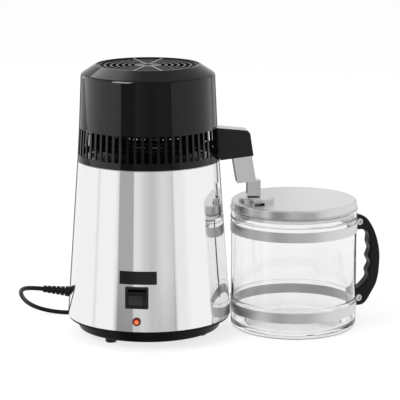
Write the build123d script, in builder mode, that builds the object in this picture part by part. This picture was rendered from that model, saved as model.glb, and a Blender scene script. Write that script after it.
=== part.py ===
from build123d import *

import os
from math import atan2, cos, degrees, hypot, pi, radians, sin, sqrt, tan

# A countertop water distiller: a steel boiler with a black fan head, and a glass jug under its spout.
# All sizes are in millimetres. The counter is at z = 0. X runs from the boiler to the jug.

# Boiler casing: a steel cone on a black tray
casing_foot_radius = 115.0
casing_top_radius = 99.3
casing_wall = 0.8
casing_hem = 8.0
casing_height = 219.0
tray_height = 19.0
tray_inset = 13.5
tray_draft = 2.0
tray_wall = 2.5
tray_flange = 3.5
tray_flange_inset = 1.6
tray_corner = 3.0
tray_vent_count = 12
tray_vent_length = 33.0
tray_vent_width = 5.0

# Feet and the standoffs that hold the tray to the pot
foot_height = 11.0
foot_radius = 8.3
foot_draft = 0.6
foot_chamfer = 0.8
foot_count = 3
foot_inset = 26.5
foot_azimuth = -144.2
screw_radius = 2.0
screw_head_radius = 3.8
screw_head_height = 2.4
screw_grip = 13.0
screw_tip_room = 2.0
standoff_radius = 5.0

# Boiling pot and heater
pot_inset = 9.3
pot_wall = 0.8
pot_corner = 10.0
pot_rim_inset = 1.3
pot_over_switch = 3.3
heater_plate_radius = 62.0
heater_plate_thickness = 4.0
heater_ring_radius = 44.0
heater_rod_radius = 4.2
heater_gap = 25.0
heater_drop = 20.0
cutout_radius = 12.0
cutout_height = 9.0
tab_width = 6.3
tab_thickness = 0.8
tab_length = 8.0
tab_spacing = 9.0

# Front controls, one above the other
controls_azimuth = -107.5
switch_height = 77.2
switch_width = 32.0
switch_tall = 30.0
switch_corner = 1.2
switch_proud = 2.4
switch_edge = 0.6
switch_body_wall = 1.5
switch_depth = 16.0
cavity_depth = 13.0
rocker_width = 25.0
rocker_tall = 24.0
rocker_clearance = 0.3
rocker_tilt = 10.0
rocker_pivot_depth = 5.0
rocker_proud = 1.2
rocker_keel_width = 8.0
rocker_keel_depth = 5.0
rocker_pad_width = 19.0
rocker_pad_inset = 1.6
rocker_pad_proud = 0.7
pivot_pin_radius = 1.2
reset_height = 44.4
reset_bezel_radius = 5.9
reset_bezel_proud = 1.6
reset_radius = 4.0
reset_proud = 3.6
reset_dome = 1.6
reset_clearance = 0.15
reset_travel = 2.5
reset_depth = 9.0
reset_barrel_radius = 5.0
reset_barrel_length = 10.0
reset_body_size = 16.0
reset_body_depth = 12.0
reset_body_corner = 2.0
reset_nut_radius = 8.0
reset_nut_thickness = 3.0

# Head: vent collar, dome and top grille
collar_lift = 1.0
collar_step = 0.3
collar_taper = 2.7
collar_height = 48.0
collar_wall = 2.5
collar_ledge_width = 19.0
collar_ledge_thickness = 2.5
vent_count = 58
vent_rib = 3.7
vent_above_foot = 9.5
vent_below_top = 2.0
dome_height = 84.9
dome_taper = 3.2
dome_shoulder_drop = 13.1
dome_shoulder_round = 5.0
dome_chamfer = 20.2
dome_rim_width = 2.0
dome_rim_round = 1.2
dome_rim_inner_round = 0.4
dome_wall = 2.5
shoulder_wall_share = 0.6
dome_ledge_width = 6.0
dome_ledge_thickness = 2.4
grille_thickness = 2.4
grille_recess = 1.6
grille_edge_width = 3.8
grille_ring_width = 2.8
grille_ring_count = 6
grille_hub_radius = 19.0
grille_rib_width = 2.4
grille_rib_proud = 0.9
grille_rib_round = 0.8
grille_rib_azimuths = (64.0, 98.0)
grille_eye_radius = 6.0
grille_eye_depth = 1.2

# Steam plate, its seal and the head's screws
plate_wall = 0.8
seal_height = 1.7
seal_inset = 1.5
steam_rise = 8.0
steam_flat_radius = 16.0
riser_collar_radius = 6.0
riser_collar_height = 5.0
head_screw_inset = 4.5
head_screw_radius = 1.5
head_screw_head = 2.8
head_screw_head_height = 2.0
head_screw_grip = 3.5
head_screw_count = 4
head_screw_azimuth = 45.0

# Fan
fan_inset = 4.9
fan_hub_radius = 17.0
fan_hub_height = 12.0
fan_under_motor = 3.0
fan_blade_count = 7
fan_blade_thickness = 1.6
fan_blade_pitch = 32.0
fan_tip_pitch = 19.0
fan_root_chord = 14.0
fan_tip_chord = 30.0
fan_blade_root = 2.0
motor_radius = 25.0
motor_height = 23.0
motor_corner = 3.0
shaft_radius = 2.0
shaft_clearance = 0.05
shaft_grip = 15.0
shaft_end_room = 2.0
bracket_thickness = 1.5
bracket_ring_outside = 7.0
bracket_ring_inside = 2.0
steam_cone_inside = 2.0
bracket_arm_width = 10.0
bracket_plate_lap = 1.0
bracket_screw_inset = 4.0
bracket_screw_radius = 1.25
bracket_screw_head = 2.4
bracket_screw_head_height = 1.6
bracket_screw_grip = 1.8
bracket_screw_count = 3
bracket_azimuth = 90.0

# Condenser
coil_tube_radius = 4.0
riser_bend = 12.0
coil_bend = 10.0
coil_bore_radius = 3.2
coil_inset = 4.0
coil_turns = 5
coil_outlet_rise = 20.0
coil_outlet_turn = 30.0
coil_under_riser = 4.5
coil_lead_in = 34.0
riser_under_fan = 10.0
riser_in_collar = 2.0

# Spout
spout_azimuth = -4.0
arm_width = 28.0
arm_wall = 2.0
arm_behind_tip = 10.8
arm_end_rise = 2.8
arm_end_lean = 8.5
arm_root_drop = 2.8
arm_root_rise = 42.9
arm_root_depth = 10.0
arm_top_fall = 5.9
arm_corner = 8.0
arm_edge = 1.2
arm_casing_gap = 1.2
chute_width = 26.5
chute_wall = 1.0
chute_behind_tip = 7.1
chute_foot_slope = 6.9
chute_lean = 9.6
chute_inside_arm = 10.0
tip_width = 18.4
tip_wall = 1.0
tip_length = 22.1
tip_over_cap = 1.5
tip_past_cap = 7.5
outlet_radius = 3.6
outlet_bore_radius = 2.6
outlet_past_collar = 5.0
outlet_behind_tip = 22.4
outlet_in_tip = 13.0
outlet_foot_behind_tip = 11.0
outlet_bend_radius = 14.0

# Jug
jug_gap = 4.9
jug_radius = 89.5
jug_wall = 3.0
jug_floor = 9.0
jug_rim_height = 172.6
jug_corner = 8.0
jug_push_up = 1.5
jug_foot_width = 20.0
jug_bead = 1.0
jug_bead_sunk = 0.6
bead_over_lower_band = 5.3
bead_over_upper_band = 6.5
band_thickness = 0.8
band_height = 14.0
band_clearance = 0.2
upper_band_drop = 32.6
lower_band_height = 24.7
ear_reach = 15.5
ear_gap = 1.6
ear_corner = 3.0
ear_sunk = 0.6

# Jug lid and filler cap
lid_height = 12.5
lid_wall = 0.8
lid_inset = 0.5
lid_overhang = 1.9
lid_corner = 3.0
lid_plug_depth = 8.0
lid_hole_radius = 15.0
gasket_width = 2.4
gasket_height = 3.0
gasket_lip = 1.0
cap_radius = 25.2
cap_height = 8.4
cap_wall = 1.0
cap_corner = 2.0
cap_hole_radius = 6.5
cap_inset = 30.0
cap_azimuth = 193.0
cap_notch_width = 14.0
cap_notch_height = 2.6
cap_notch_depth = 4.0
spigot_depth = 9.0
spigot_wall = 1.6
spigot_clearance = 0.4

# Jug handle
handle_azimuth = 12.0
handle_width = 17.0
handle_out = 45.5
handle_band_gap = 2.0
handle_edge = 3.0
handle_screw_out = 11.5
upper_screw_rise = 4.5
lower_screw_rise = 7.0
handle_screw_head = 5.0
handle_screw_proud = 1.2
handle_screw_socket = 2.6
handle_screw_socket_depth = 1.8
handle_screw_round = 1.0
handle_nut_radius = 4.4
handle_nut_thickness = 3.2
head_recess = 1.5

# Mains lead
lead_radius = 3.2
relief_azimuth = 162.5
relief_height = 54.5
relief_length = 39.0
relief_collar_radius = 7.3
relief_collar_length = 7.0
relief_rib_count = 5
relief_rib_radius = 6.6
relief_rib_share = 0.65
relief_end_radius = 5.0
relief_neck_radius = 5.8
relief_wall = 1.0
relief_groove_room = 0.4
relief_flange_radius = 8.0
relief_flange_thickness = 2.8
wound_mid_radius = 35.0
wound_step = 6.9
wound_lift = 1.0
wound_centre = (-12.0, 172.0)
wound_turns_in = 2.0
wound_turns_out = 1.5
wound_end_run = 8.0
tie_width = 8.0
tie_thickness = 0.8
tie_clearance = 0.6
tie_corner = 1.6
plug_face_radius = 18.5
plug_neck_radius = 8.0
plug_grip_radius = 11.0
plug_grip_share = 0.45
plug_shoulder_share = 0.6
plug_length = 42.0
plug_pin_radius = 2.4
plug_pin_length = 19.0
plug_pin_spacing = 19.0

# Clearances, how far a cut reaches past a thin wall, and how closely coils are measured
hole_clearance = 0.3
part_gap = 0.3
screw_clearance = 0.1
cut_reach = 6.0
samples_per_turn = 72

# Heights and radii worked out from the sizes above: the boiler
casing_foot = foot_height + tray_height
casing_top = casing_foot + casing_height
tray_radius = casing_foot_radius - tray_inset
foot_pitch_radius = tray_radius - foot_inset
pot_radius = casing_top_radius - pot_inset
pot_rim_radius = casing_top_radius - pot_rim_inset
switch_body_width = rocker_width + 2 * switch_body_wall
switch_body_tall = rocker_tall + 2 * switch_body_wall
pot_floor = switch_height + switch_body_tall / 2 + pot_over_switch
pot_rim_top = casing_top + pot_wall

# The head
collar_foot = casing_top + collar_lift
collar_top = collar_foot + collar_height
collar_foot_radius = casing_top_radius - collar_step
collar_top_radius = collar_foot_radius - collar_taper
collar_ledge_radius = collar_foot_radius - collar_ledge_width
dome_top = collar_top + dome_height
dome_shoulder = dome_top - dome_shoulder_drop
dome_shoulder_radius = collar_top_radius - dome_taper
dome_rim_radius = dome_shoulder_radius - dome_chamfer
grille_radius = dome_rim_radius - dome_rim_width
grille_top = dome_top - grille_recess
grille_foot = grille_top - grille_thickness
dome_ledge_radius = grille_radius - dome_ledge_width
dome_ledge_foot = grille_foot - dome_ledge_thickness
bracket_foot = dome_ledge_foot - bracket_thickness
bracket_screw_pitch = dome_ledge_radius + bracket_screw_inset
fan_radius = dome_ledge_radius - fan_inset
fan_hub_bottom = bracket_foot - motor_height - fan_under_motor - fan_hub_height
steam_plate_foot = pot_rim_top + seal_height
collar_ledge_foot = steam_plate_foot + plate_wall
head_screw_pitch = collar_ledge_radius + head_screw_inset
coil_radius = collar_ledge_radius - coil_inset
coil_outlet_height = collar_foot + coil_outlet_rise
riser_top = fan_hub_bottom - riser_under_fan
coil_pitch = (riser_top - coil_under_riser - coil_outlet_height) / coil_turns

# The jug
jug_distance = casing_foot_radius + jug_gap + jug_radius
upper_band_height = jug_rim_height - upper_band_drop
band_rise = upper_band_height - lower_band_height
upper_screw_height = upper_band_height + upper_screw_rise
lower_screw_height = lower_band_height + lower_screw_rise
handle_screw_radius = jug_radius + handle_screw_out
handle_reach = jug_radius + handle_out
lid_top = jug_rim_height + lid_height
cap_offset = jug_radius - cap_inset
cap_top = lid_top + cap_height

# The spout, which ends just over the filler cap
tip_reach = jug_distance - cap_offset + tip_past_cap
tip_mouth_height = cap_top + tip_over_cap
chute_foot = tip_mouth_height + tip_length
chute_reach = tip_reach - chute_behind_tip
arm_reach = tip_reach - arm_behind_tip
arm_end_foot = collar_foot + arm_end_rise
arm_root_foot = collar_foot - arm_root_drop
arm_root_top = collar_foot + arm_root_rise
outlet_bend = tip_reach - outlet_behind_tip

# The origin is under the middle of the whole, on the counter
jug_reach = handle_reach * cos(radians(handle_azimuth)) + handle_width / 2 * sin(radians(handle_azimuth))
boiler_x = (casing_foot_radius - jug_distance - jug_reach) / 2
jug_x = boiler_x + jug_distance
casing_lean = degrees(atan2(casing_foot_radius - casing_top_radius, casing_height))

boiler_axis = Axis((boiler_x, 0, 0), (0, 0, 1))
boiler_section = Plane(origin=(boiler_x, 0, 0), x_dir=(1, 0, 0), z_dir=(0, -1, 0))
jug_axis = Axis((jug_x, 0, 0), (0, 0, 1))
jug_section = Plane(origin=(jug_x, 0, 0), x_dir=(1, 0, 0), z_dir=(0, -1, 0))

os.makedirs("parts", exist_ok=True)


def boiler_level(height):
    """A level plane centred on the boiler's axis."""
    return Plane(origin=(boiler_x, 0, height))


def jug_level(height):
    """A level plane centred on the jug's axis."""
    return Plane(origin=(jug_x, 0, height))


def casing_radius(height):
    """Radius of the casing's skin at a height."""
    up = (height - casing_foot) / casing_height
    return casing_foot_radius + (casing_top_radius - casing_foot_radius) * up


def around_boiler(radius, azimuth, height):
    """A point at a radius and azimuth from the boiler's axis."""
    turn = radians(azimuth)
    return Vector(boiler_x + radius * cos(turn), radius * sin(turn), height)


def skin_plane(azimuth, height):
    """A plane on the casing's skin and square to it, its x level and its z outwards."""
    turn = radians(azimuth)
    lean = radians(casing_lean)
    out = (cos(turn) * cos(lean), sin(turn) * cos(lean), sin(lean))
    along = (-sin(turn), cos(turn), 0)
    return Plane(origin=around_boiler(casing_radius(height), azimuth, height), x_dir=along, z_dir=out)


def radial_section(origin_x, azimuth):
    """An upright plane through an axis at origin_x, its x outwards along an azimuth and its y upwards."""
    turn = radians(azimuth)
    return Plane(origin=(origin_x, 0, 0), x_dir=(cos(turn), sin(turn), 0), z_dir=(sin(turn), -cos(turn), 0))


def arcs_through(points, headings):
    """Smooth arcs through points with a heading at each: two tangent arcs for each step."""
    for start, end, leave, arrive in zip(points, points[1:], headings, headings[1:]):
        chord = end - start
        both = leave + arrive
        square = both.dot(both) - 4
        linear = -2 * chord.dot(both)
        constant = chord.dot(chord)
        if abs(square) < 1e-9:
            reach = -constant / linear
        else:
            reach = (-linear - sqrt(linear * linear - 4 * square * constant)) / (2 * square)
        first = start + leave * reach
        last = end - arrive * reach
        middle = (first + last) * 0.5
        TangentArc(start, middle, tangent=leave)
        TangentArc(middle, end, tangent=(last - first).normalized())


def easy_radii(points):
    """A bend radius at each inner point of a route, as large as its two runs allow."""
    radii = []
    for before, here, after in zip(points, points[1:], points[2:]):
        arriving = Vector(*here) - Vector(*before)
        leaving = Vector(*after) - Vector(*here)
        half_turn = radians(arriving.get_angle(leaving) / 2)
        radii.append(0.45 * min(arriving.length, leaving.length) / tan(half_turn))
    return radii


def least_gap(points, skip, diameter):
    """The least clear distance between stretches of a tube, leaving out near neighbours along it."""
    least = 1e9
    for index, here in enumerate(points):
        for other in points[index + skip:]:
            least = min(least, (here - other).length)
    return least - diameter


def write(part, name):
    part.label = name
    export_step(part, f"parts/{name}.step")


# Base tray: the black plastic underside, with vent slots and holes for the feet's screws
tray_foot_radius = tray_radius - tray_draft
tray_flange_radius = casing_foot_radius - tray_flange_inset
tray_vent_pitch = foot_pitch_radius - foot_radius - tray_vent_length / 2
with BuildPart() as base_tray:
    with BuildSketch(boiler_section):
        with BuildLine():
            Polyline(
                (0, foot_height), (tray_foot_radius, foot_height),
                (tray_radius, casing_foot - tray_flange), (tray_flange_radius, casing_foot - tray_flange),
                (tray_flange_radius, casing_foot), (tray_radius - tray_wall, casing_foot),
                (tray_foot_radius - tray_wall, foot_height + tray_wall), (0, foot_height + tray_wall),
                close=True,
            )
        make_face()
    revolve(axis=boiler_axis)
    tray_edges = base_tray.edges().filter_by(GeomType.CIRCLE)
    fillet(tray_edges.group_by(Axis.Z)[0].sort_by(SortBy.RADIUS)[-1], tray_corner)
    with BuildSketch(boiler_level(foot_height)):
        with PolarLocations(foot_pitch_radius, foot_count, start_angle=foot_azimuth):
            Circle(screw_radius + hole_clearance)
        with PolarLocations(tray_vent_pitch, tray_vent_count):
            SlotOverall(tray_vent_length, tray_vent_width)
    extrude(amount=tray_wall, mode=Mode.SUBTRACT)
write(base_tray.part, "base_tray")

# One rubber foot, with a counterbore for its screw
with BuildPart() as foot:
    with BuildSketch(Plane.XZ):
        with BuildLine():
            Polyline(
                (screw_head_radius + hole_clearance, 0), (foot_radius - foot_draft - foot_chamfer, 0),
                (foot_radius - foot_draft, foot_chamfer), (foot_radius, foot_height),
                (screw_radius + hole_clearance, foot_height),
                (screw_radius + hole_clearance, foot_height / 2),
                (screw_head_radius + hole_clearance, foot_height / 2), close=True,
            )
        make_face()
    revolve(axis=Axis.Z)

# Rubber feet
with BuildPart() as rubber_feet:
    with Locations(boiler_level(0)):
        with PolarLocations(foot_pitch_radius, foot_count, start_angle=foot_azimuth):
            add(foot.part)
write(rubber_feet.part, "rubber_feet")

# Screws up through the feet and the tray into the standoffs
with BuildPart() as foot_screws:
    with Locations(boiler_level(foot_height / 2)):
        with PolarLocations(foot_pitch_radius, foot_count, start_angle=foot_azimuth):
            Cylinder(screw_head_radius, screw_head_height, align=(Align.CENTER, Align.CENTER, Align.MAX))
            Cylinder(
                screw_radius, foot_height / 2 + tray_wall + screw_grip,
                align=(Align.CENTER, Align.CENTER, Align.MIN),
            )
write(foot_screws.part, "foot_screws")

# Standoffs welded under the pot
standoff_foot = foot_height + tray_wall
with BuildPart() as standoffs:
    with BuildSketch(boiler_level(standoff_foot)):
        with PolarLocations(foot_pitch_radius, foot_count, start_angle=foot_azimuth):
            RegularPolygon(standoff_radius, 6)
    extrude(amount=pot_floor - standoff_foot)
    with BuildSketch(boiler_level(standoff_foot)):
        with PolarLocations(foot_pitch_radius, foot_count, start_angle=foot_azimuth):
            Circle(screw_radius + screw_clearance)
    extrude(amount=screw_grip + screw_tip_room, mode=Mode.SUBTRACT)
write(standoffs.part, "standoffs")

# Outer casing: a polished steel cone with a hem below, a lip above, and holes for what is fitted in it
casing_lip_radius = pot_radius + pot_wall + hole_clearance
inner_foot = casing_radius(casing_foot + casing_wall) - casing_wall
inner_top = casing_radius(casing_top - casing_wall) - casing_wall
lead_hole_radius = relief_neck_radius + hole_clearance
with BuildPart() as outer_casing:
    with BuildSketch(boiler_section):
        with BuildLine():
            Polyline(
                (casing_foot_radius, casing_foot), (casing_top_radius, casing_top),
                (casing_lip_radius, casing_top), (casing_lip_radius, casing_top - casing_wall),
                (inner_top, casing_top - casing_wall), (inner_foot, casing_foot + casing_wall),
                (casing_foot_radius - casing_hem, casing_foot + casing_wall),
                (casing_foot_radius - casing_hem, casing_foot),
                close=True,
            )
        make_face()
    revolve(axis=boiler_axis)
    with BuildSketch(skin_plane(controls_azimuth, switch_height)):
        Rectangle(switch_body_width + 2 * part_gap, switch_body_tall + 2 * part_gap)
    extrude(amount=cut_reach, both=True, mode=Mode.SUBTRACT)
    with BuildSketch(skin_plane(controls_azimuth, reset_height)):
        Circle(reset_barrel_radius + hole_clearance)
    extrude(amount=cut_reach, both=True, mode=Mode.SUBTRACT)
    with BuildSketch(skin_plane(relief_azimuth, relief_height)):
        Circle(lead_hole_radius)
    extrude(amount=cut_reach, both=True, mode=Mode.SUBTRACT)
write(outer_casing.part, "outer_casing")

# The casing's outside as a solid, which the controls' bezels are cut to
with BuildPart() as casing_core:
    with BuildSketch(boiler_section):
        with BuildLine():
            Polyline(
                (0, casing_foot), (casing_foot_radius, casing_foot),
                (casing_top_radius, casing_top), (0, casing_top), close=True,
            )
        make_face()
    revolve(axis=boiler_axis)

# Boiling pot: its rim lies on the casing's lip
pot_bend = pot_corner - pot_wall
with BuildPart() as boiling_pot:
    with BuildSketch(boiler_section):
        with BuildLine():
            Polyline(
                (0, pot_floor), (pot_radius + pot_wall, pot_floor), (pot_radius + pot_wall, casing_top),
                (pot_rim_radius, casing_top), (pot_rim_radius, pot_rim_top), (pot_radius, pot_rim_top),
                (pot_radius, pot_floor + pot_wall), (0, pot_floor + pot_wall), close=True,
            )
        make_face()
    revolve(axis=boiler_axis)
    floor_edges = boiling_pot.edges().filter_by(GeomType.CIRCLE)
    fillet(floor_edges.filter_by_position(Axis.Z, pot_floor - 0.1, pot_floor + 0.1), pot_corner)
    floor_edges = boiling_pot.edges().filter_by(GeomType.CIRCLE).filter_by(
        lambda edge: abs(edge.radius - pot_radius) < 0.01 and edge.center().Z < pot_floor + 2
    )
    fillet(floor_edges, pot_bend)
write(boiling_pot.part, "boiling_pot")

# Heater: a plate against the pot's floor, and a rod bent into a ring under it
heater_plate_foot = pot_floor - heater_plate_thickness
with BuildPart() as heater_plate:
    with BuildSketch(boiler_level(heater_plate_foot)):
        Circle(heater_plate_radius)
    extrude(amount=heater_plate_thickness)
write(heater_plate.part, "heater_plate")

heater_centre = heater_plate_foot - heater_rod_radius
with BuildPart() as heater_element:
    with BuildLine(boiler_level(heater_centre)) as heater_path:
        CenterArc((0, 0), heater_ring_radius, heater_gap, 360 - 2 * heater_gap)
    with BuildSketch(Plane(origin=heater_path.line @ 0, z_dir=heater_path.line % 0)):
        Circle(heater_rod_radius)
    sweep(path=heater_path.line)
    with Locations(boiler_level(heater_centre)):
        for side in (heater_gap, -heater_gap):
            with PolarLocations(heater_ring_radius, 1, start_angle=side):
                Sphere(heater_rod_radius)
                Cylinder(
                    heater_rod_radius, heater_drop, align=(Align.CENTER, Align.CENTER, Align.MAX)
                )
write(heater_element.part, "heater_element")

# Thermal cut-out, a button of steel and ceramic at the plate's centre
with BuildPart() as thermal_cutout:
    with BuildSketch(boiler_level(heater_plate_foot)):
        Circle(cutout_radius)
    extrude(amount=-cutout_height)
    with BuildSketch(boiler_level(heater_plate_foot - cutout_height)):
        with GridLocations(cutout_radius, 0, 2, 1):
            Rectangle(tab_thickness, tab_width)
    extrude(amount=-tab_length)
write(thermal_cutout.part, "thermal_cutout")

# Switch frame: a black bezel that lies on the casing, and a hollow body behind it
switch_plane = skin_plane(controls_azimuth, switch_height)
switch_axis = Axis(switch_plane.origin, switch_plane.z_dir)
with BuildPart() as switch_frame:
    with BuildSketch(switch_plane.offset(-cut_reach)):
        RectangleRounded(switch_width, switch_tall, switch_corner)
    extrude(amount=cut_reach + switch_proud)
    chamfer(switch_frame.faces().sort_by(switch_axis)[-1].edges(), switch_edge)
    add(casing_core.part, mode=Mode.SUBTRACT)
    with BuildSketch(switch_plane.offset(-switch_depth)):
        Rectangle(switch_body_width, switch_body_tall)
    extrude(amount=switch_depth + switch_proud / 2)
    with BuildSketch(switch_plane.offset(switch_proud)):
        Rectangle(rocker_width, rocker_tall)
    extrude(amount=-(switch_proud + cavity_depth), mode=Mode.SUBTRACT)
    with Locations(switch_plane.offset(-rocker_pivot_depth)):
        Cylinder(pivot_pin_radius, switch_body_width, rotation=(0, 90, 0), mode=Mode.SUBTRACT)
    with BuildSketch(switch_plane.offset(-switch_depth)):
        with GridLocations(0, tab_spacing, 1, 2):
            Rectangle(tab_width, tab_thickness)
    extrude(amount=-tab_length)
write(switch_frame.part, "switch_frame")

# Pin that the rocker turns on, pressed into the frame's two sides
with BuildPart() as rocker_pin:
    with Locations(switch_plane.offset(-rocker_pivot_depth)):
        Cylinder(pivot_pin_radius, switch_body_width, rotation=(0, 90, 0))
write(rocker_pin.part, "rocker_pin")

# Rocker, drawn level and then leant so that its lower half is pressed in
rocker_lean = radians(rocker_tilt)
rocker_end = rocker_tall / 2 - rocker_clearance
rocker_rise = rocker_pivot_depth + rocker_proud
rocker_corner = hypot(rocker_end, rocker_rise)
rocker_corner_angle = radians(degrees(atan2(rocker_rise, rocker_end)) + rocker_tilt)
rocker_half = rocker_corner * cos(rocker_corner_angle)
rocker_crest = rocker_corner * sin(rocker_corner_angle)
rocker_valley = rocker_crest - rocker_half * tan(rocker_lean)
rocker_plane = Plane(
    switch_plane.origin - switch_plane.z_dir * rocker_pivot_depth, x_dir=switch_plane.x_dir,
    z_dir=switch_plane.z_dir * cos(rocker_lean) - switch_plane.y_dir * sin(rocker_lean),
)
rocker_side = Plane(rocker_plane.origin, x_dir=rocker_plane.y_dir, z_dir=rocker_plane.x_dir)
rocker_keel = rocker_keel_width / 2
face_slope = atan2(rocker_crest - rocker_valley, rocker_half)
face_length = hypot(rocker_crest - rocker_valley, rocker_half)


def rocker_face_point(along, above):
    """A point over the rocker's lower face, counted from the valley down."""
    return (
        above * sin(face_slope) - along * cos(face_slope),
        rocker_valley + above * cos(face_slope) + along * sin(face_slope),
    )


with BuildPart() as switch_rocker:
    with BuildSketch(rocker_side):
        with BuildLine():
            Polyline(
                (-rocker_half, rocker_crest), (0, rocker_valley), (rocker_half, rocker_crest),
                (rocker_half - rocker_proud, 0), (rocker_keel, -rocker_keel_depth),
                (-rocker_keel, -rocker_keel_depth), (rocker_proud - rocker_half, 0), close=True,
            )
        make_face()
    extrude(amount=rocker_width / 2 - rocker_clearance, both=True)
    with BuildSketch(rocker_side):
        with BuildLine():
            Polyline(
                rocker_face_point(rocker_pad_inset, -rocker_proud),
                rocker_face_point(face_length - rocker_pad_inset, -rocker_proud),
                rocker_face_point(face_length - rocker_pad_inset, rocker_pad_proud),
                rocker_face_point(rocker_pad_inset, rocker_pad_proud), close=True,
            )
        make_face()
    extrude(amount=rocker_pad_width / 2, both=True)
    with Locations(rocker_plane):
        Cylinder(pivot_pin_radius + shaft_clearance, rocker_width, rotation=(0, 90, 0), mode=Mode.SUBTRACT)
write(switch_rocker.part, "switch_rocker")

# Reset switch: a red bezel and barrel through the casing, and a body behind it
reset_plane = skin_plane(controls_azimuth, reset_height)
reset_axis = Axis(reset_plane.origin, reset_plane.z_dir)
with BuildPart() as reset_module:
    with BuildSketch(reset_plane.offset(-cut_reach)):
        Circle(reset_bezel_radius)
    extrude(amount=cut_reach + reset_bezel_proud)
    add(casing_core.part, mode=Mode.SUBTRACT)
    with BuildSketch(reset_plane.offset(-reset_barrel_length)):
        Circle(reset_barrel_radius)
    extrude(amount=reset_barrel_length + reset_bezel_proud / 2)
    with BuildSketch(reset_plane.offset(-reset_barrel_length)):
        RectangleRounded(reset_body_size, reset_body_size, reset_body_corner)
    extrude(amount=-reset_body_depth)
    with BuildSketch(reset_plane.offset(reset_bezel_proud)):
        Circle(reset_radius + reset_clearance)
    extrude(amount=-(reset_bezel_proud + reset_depth + reset_travel), mode=Mode.SUBTRACT)
write(reset_module.part, "reset_module")

# Nut that clamps the reset switch from inside the casing
with BuildPart() as reset_nut:
    with BuildSketch(reset_plane.offset(-casing_wall - part_gap)):
        RegularPolygon(reset_nut_radius, 6)
        Circle(reset_barrel_radius, mode=Mode.SUBTRACT)
    extrude(amount=-reset_nut_thickness)
write(reset_nut.part, "reset_nut")

# Reset button with a domed face
with BuildPart() as reset_button:
    with BuildSketch(reset_plane.offset(reset_proud)):
        Circle(reset_radius)
    extrude(amount=-(reset_proud + reset_depth - part_gap))
    fillet(reset_button.edges().sort_by(reset_axis)[-1], reset_dome)
write(reset_button.part, "reset_button")

# Vent collar: the head's lower ring with its slots, and a ledge inside for the steam plate
collar_ledge_top = collar_ledge_foot + collar_ledge_thickness
vent_step = 360 / vent_count
vent_foot = collar_foot + vent_above_foot
vent_height = collar_height - vent_above_foot - vent_below_top
spout_side = radial_section(boiler_x, spout_azimuth)
with BuildPart() as vent_collar:
    with BuildSketch(boiler_section):
        with BuildLine():
            Polyline(
                (collar_foot_radius, collar_foot), (collar_top_radius, collar_top),
                (collar_top_radius - collar_wall, collar_top),
                (collar_foot_radius - collar_wall, collar_ledge_top),
                (collar_ledge_radius, collar_ledge_top), (collar_ledge_radius, collar_ledge_foot),
                (collar_foot_radius - collar_wall, collar_ledge_foot),
                (collar_foot_radius - collar_wall, collar_foot), close=True,
            )
        make_face()
    revolve(axis=boiler_axis)
    vent_width = 2 * pi * collar_top_radius / vent_count - vent_rib
    arm_half_angle = degrees(atan2(arm_width / 2, collar_foot_radius))
    with BuildSketch(boiler_level(vent_foot)):
        for index in range(vent_count):
            turn = spout_azimuth + (index + 0.5) * vent_step
            if abs((turn - spout_azimuth + 180) % 360 - 180) > arm_half_angle + vent_step / 2:
                with PolarLocations(collar_top_radius, 1, start_angle=turn):
                    Rectangle(2 * cut_reach, vent_width)
    extrude(amount=vent_height, mode=Mode.SUBTRACT)
    outlet_place = around_boiler(collar_top_radius, spout_azimuth, coil_outlet_height)
    with BuildSketch(Plane(outlet_place, x_dir=(0, 0, 1), z_dir=spout_side.x_dir)):
        Circle(coil_tube_radius + hole_clearance)
    extrude(amount=2 * cut_reach, both=True, mode=Mode.SUBTRACT)
    with BuildSketch(boiler_level(collar_ledge_foot)):
        with PolarLocations(head_screw_pitch, head_screw_count, start_angle=head_screw_azimuth):
            Circle(head_screw_radius + screw_clearance)
    extrude(amount=collar_ledge_thickness, mode=Mode.SUBTRACT)
write(vent_collar.part, "vent_collar")

# Head dome: a glossy shell with a chamfered shoulder, a flat rim and a ledge for the grille
with BuildPart() as head_dome:
    with BuildSketch(boiler_section):
        with BuildLine():
            Polyline(
                (collar_top_radius, collar_top), (dome_shoulder_radius, dome_shoulder),
                (dome_rim_radius, dome_top), (grille_radius, dome_top), (grille_radius, grille_foot),
                (dome_ledge_radius, grille_foot), (dome_ledge_radius, dome_ledge_foot),
                (dome_rim_radius, dome_ledge_foot),
                (dome_shoulder_radius - dome_wall, dome_shoulder - dome_wall * shoulder_wall_share),
                (collar_top_radius - dome_wall, collar_top), close=True,
            )
        make_face()
    revolve(axis=boiler_axis)
    shoulder_edge = head_dome.edges().filter_by(GeomType.CIRCLE).filter_by(
        lambda edge: abs(edge.radius - dome_shoulder_radius) < 0.01
    )
    fillet(shoulder_edge, dome_shoulder_round)
    for radius, round_ in ((dome_rim_radius, dome_rim_round), (grille_radius, dome_rim_inner_round)):
        rim_edge = head_dome.edges().filter_by(GeomType.CIRCLE).filter_by(
            lambda edge: abs(edge.center().Z - dome_top) < 0.01 and abs(edge.radius - radius) < 0.01
        )
        fillet(rim_edge, round_)
    with BuildSketch(boiler_level(dome_ledge_foot)):
        with PolarLocations(bracket_screw_pitch, bracket_screw_count, start_angle=bracket_azimuth):
            Circle(bracket_screw_radius + screw_clearance)
    extrude(amount=bracket_screw_grip + screw_clearance, mode=Mode.SUBTRACT)
write(head_dome.part, "head_dome")

# Top grille: rings about a hub, carried by two raised ribs that cross over its eye
grille_edge_radius = grille_radius - part_gap
rings_radius = grille_edge_radius - grille_edge_width
ring_step = (rings_radius - grille_hub_radius + grille_ring_width) / grille_ring_count
with BuildPart() as grille_rib:
    with BuildSketch(Plane.YZ):
        with Locations((0, grille_foot + (grille_thickness + grille_rib_proud) / 2)):
            RectangleRounded(grille_rib_width, grille_thickness + grille_rib_proud, grille_rib_round)
    extrude(amount=rings_radius + grille_edge_width / 2, both=True)

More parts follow.
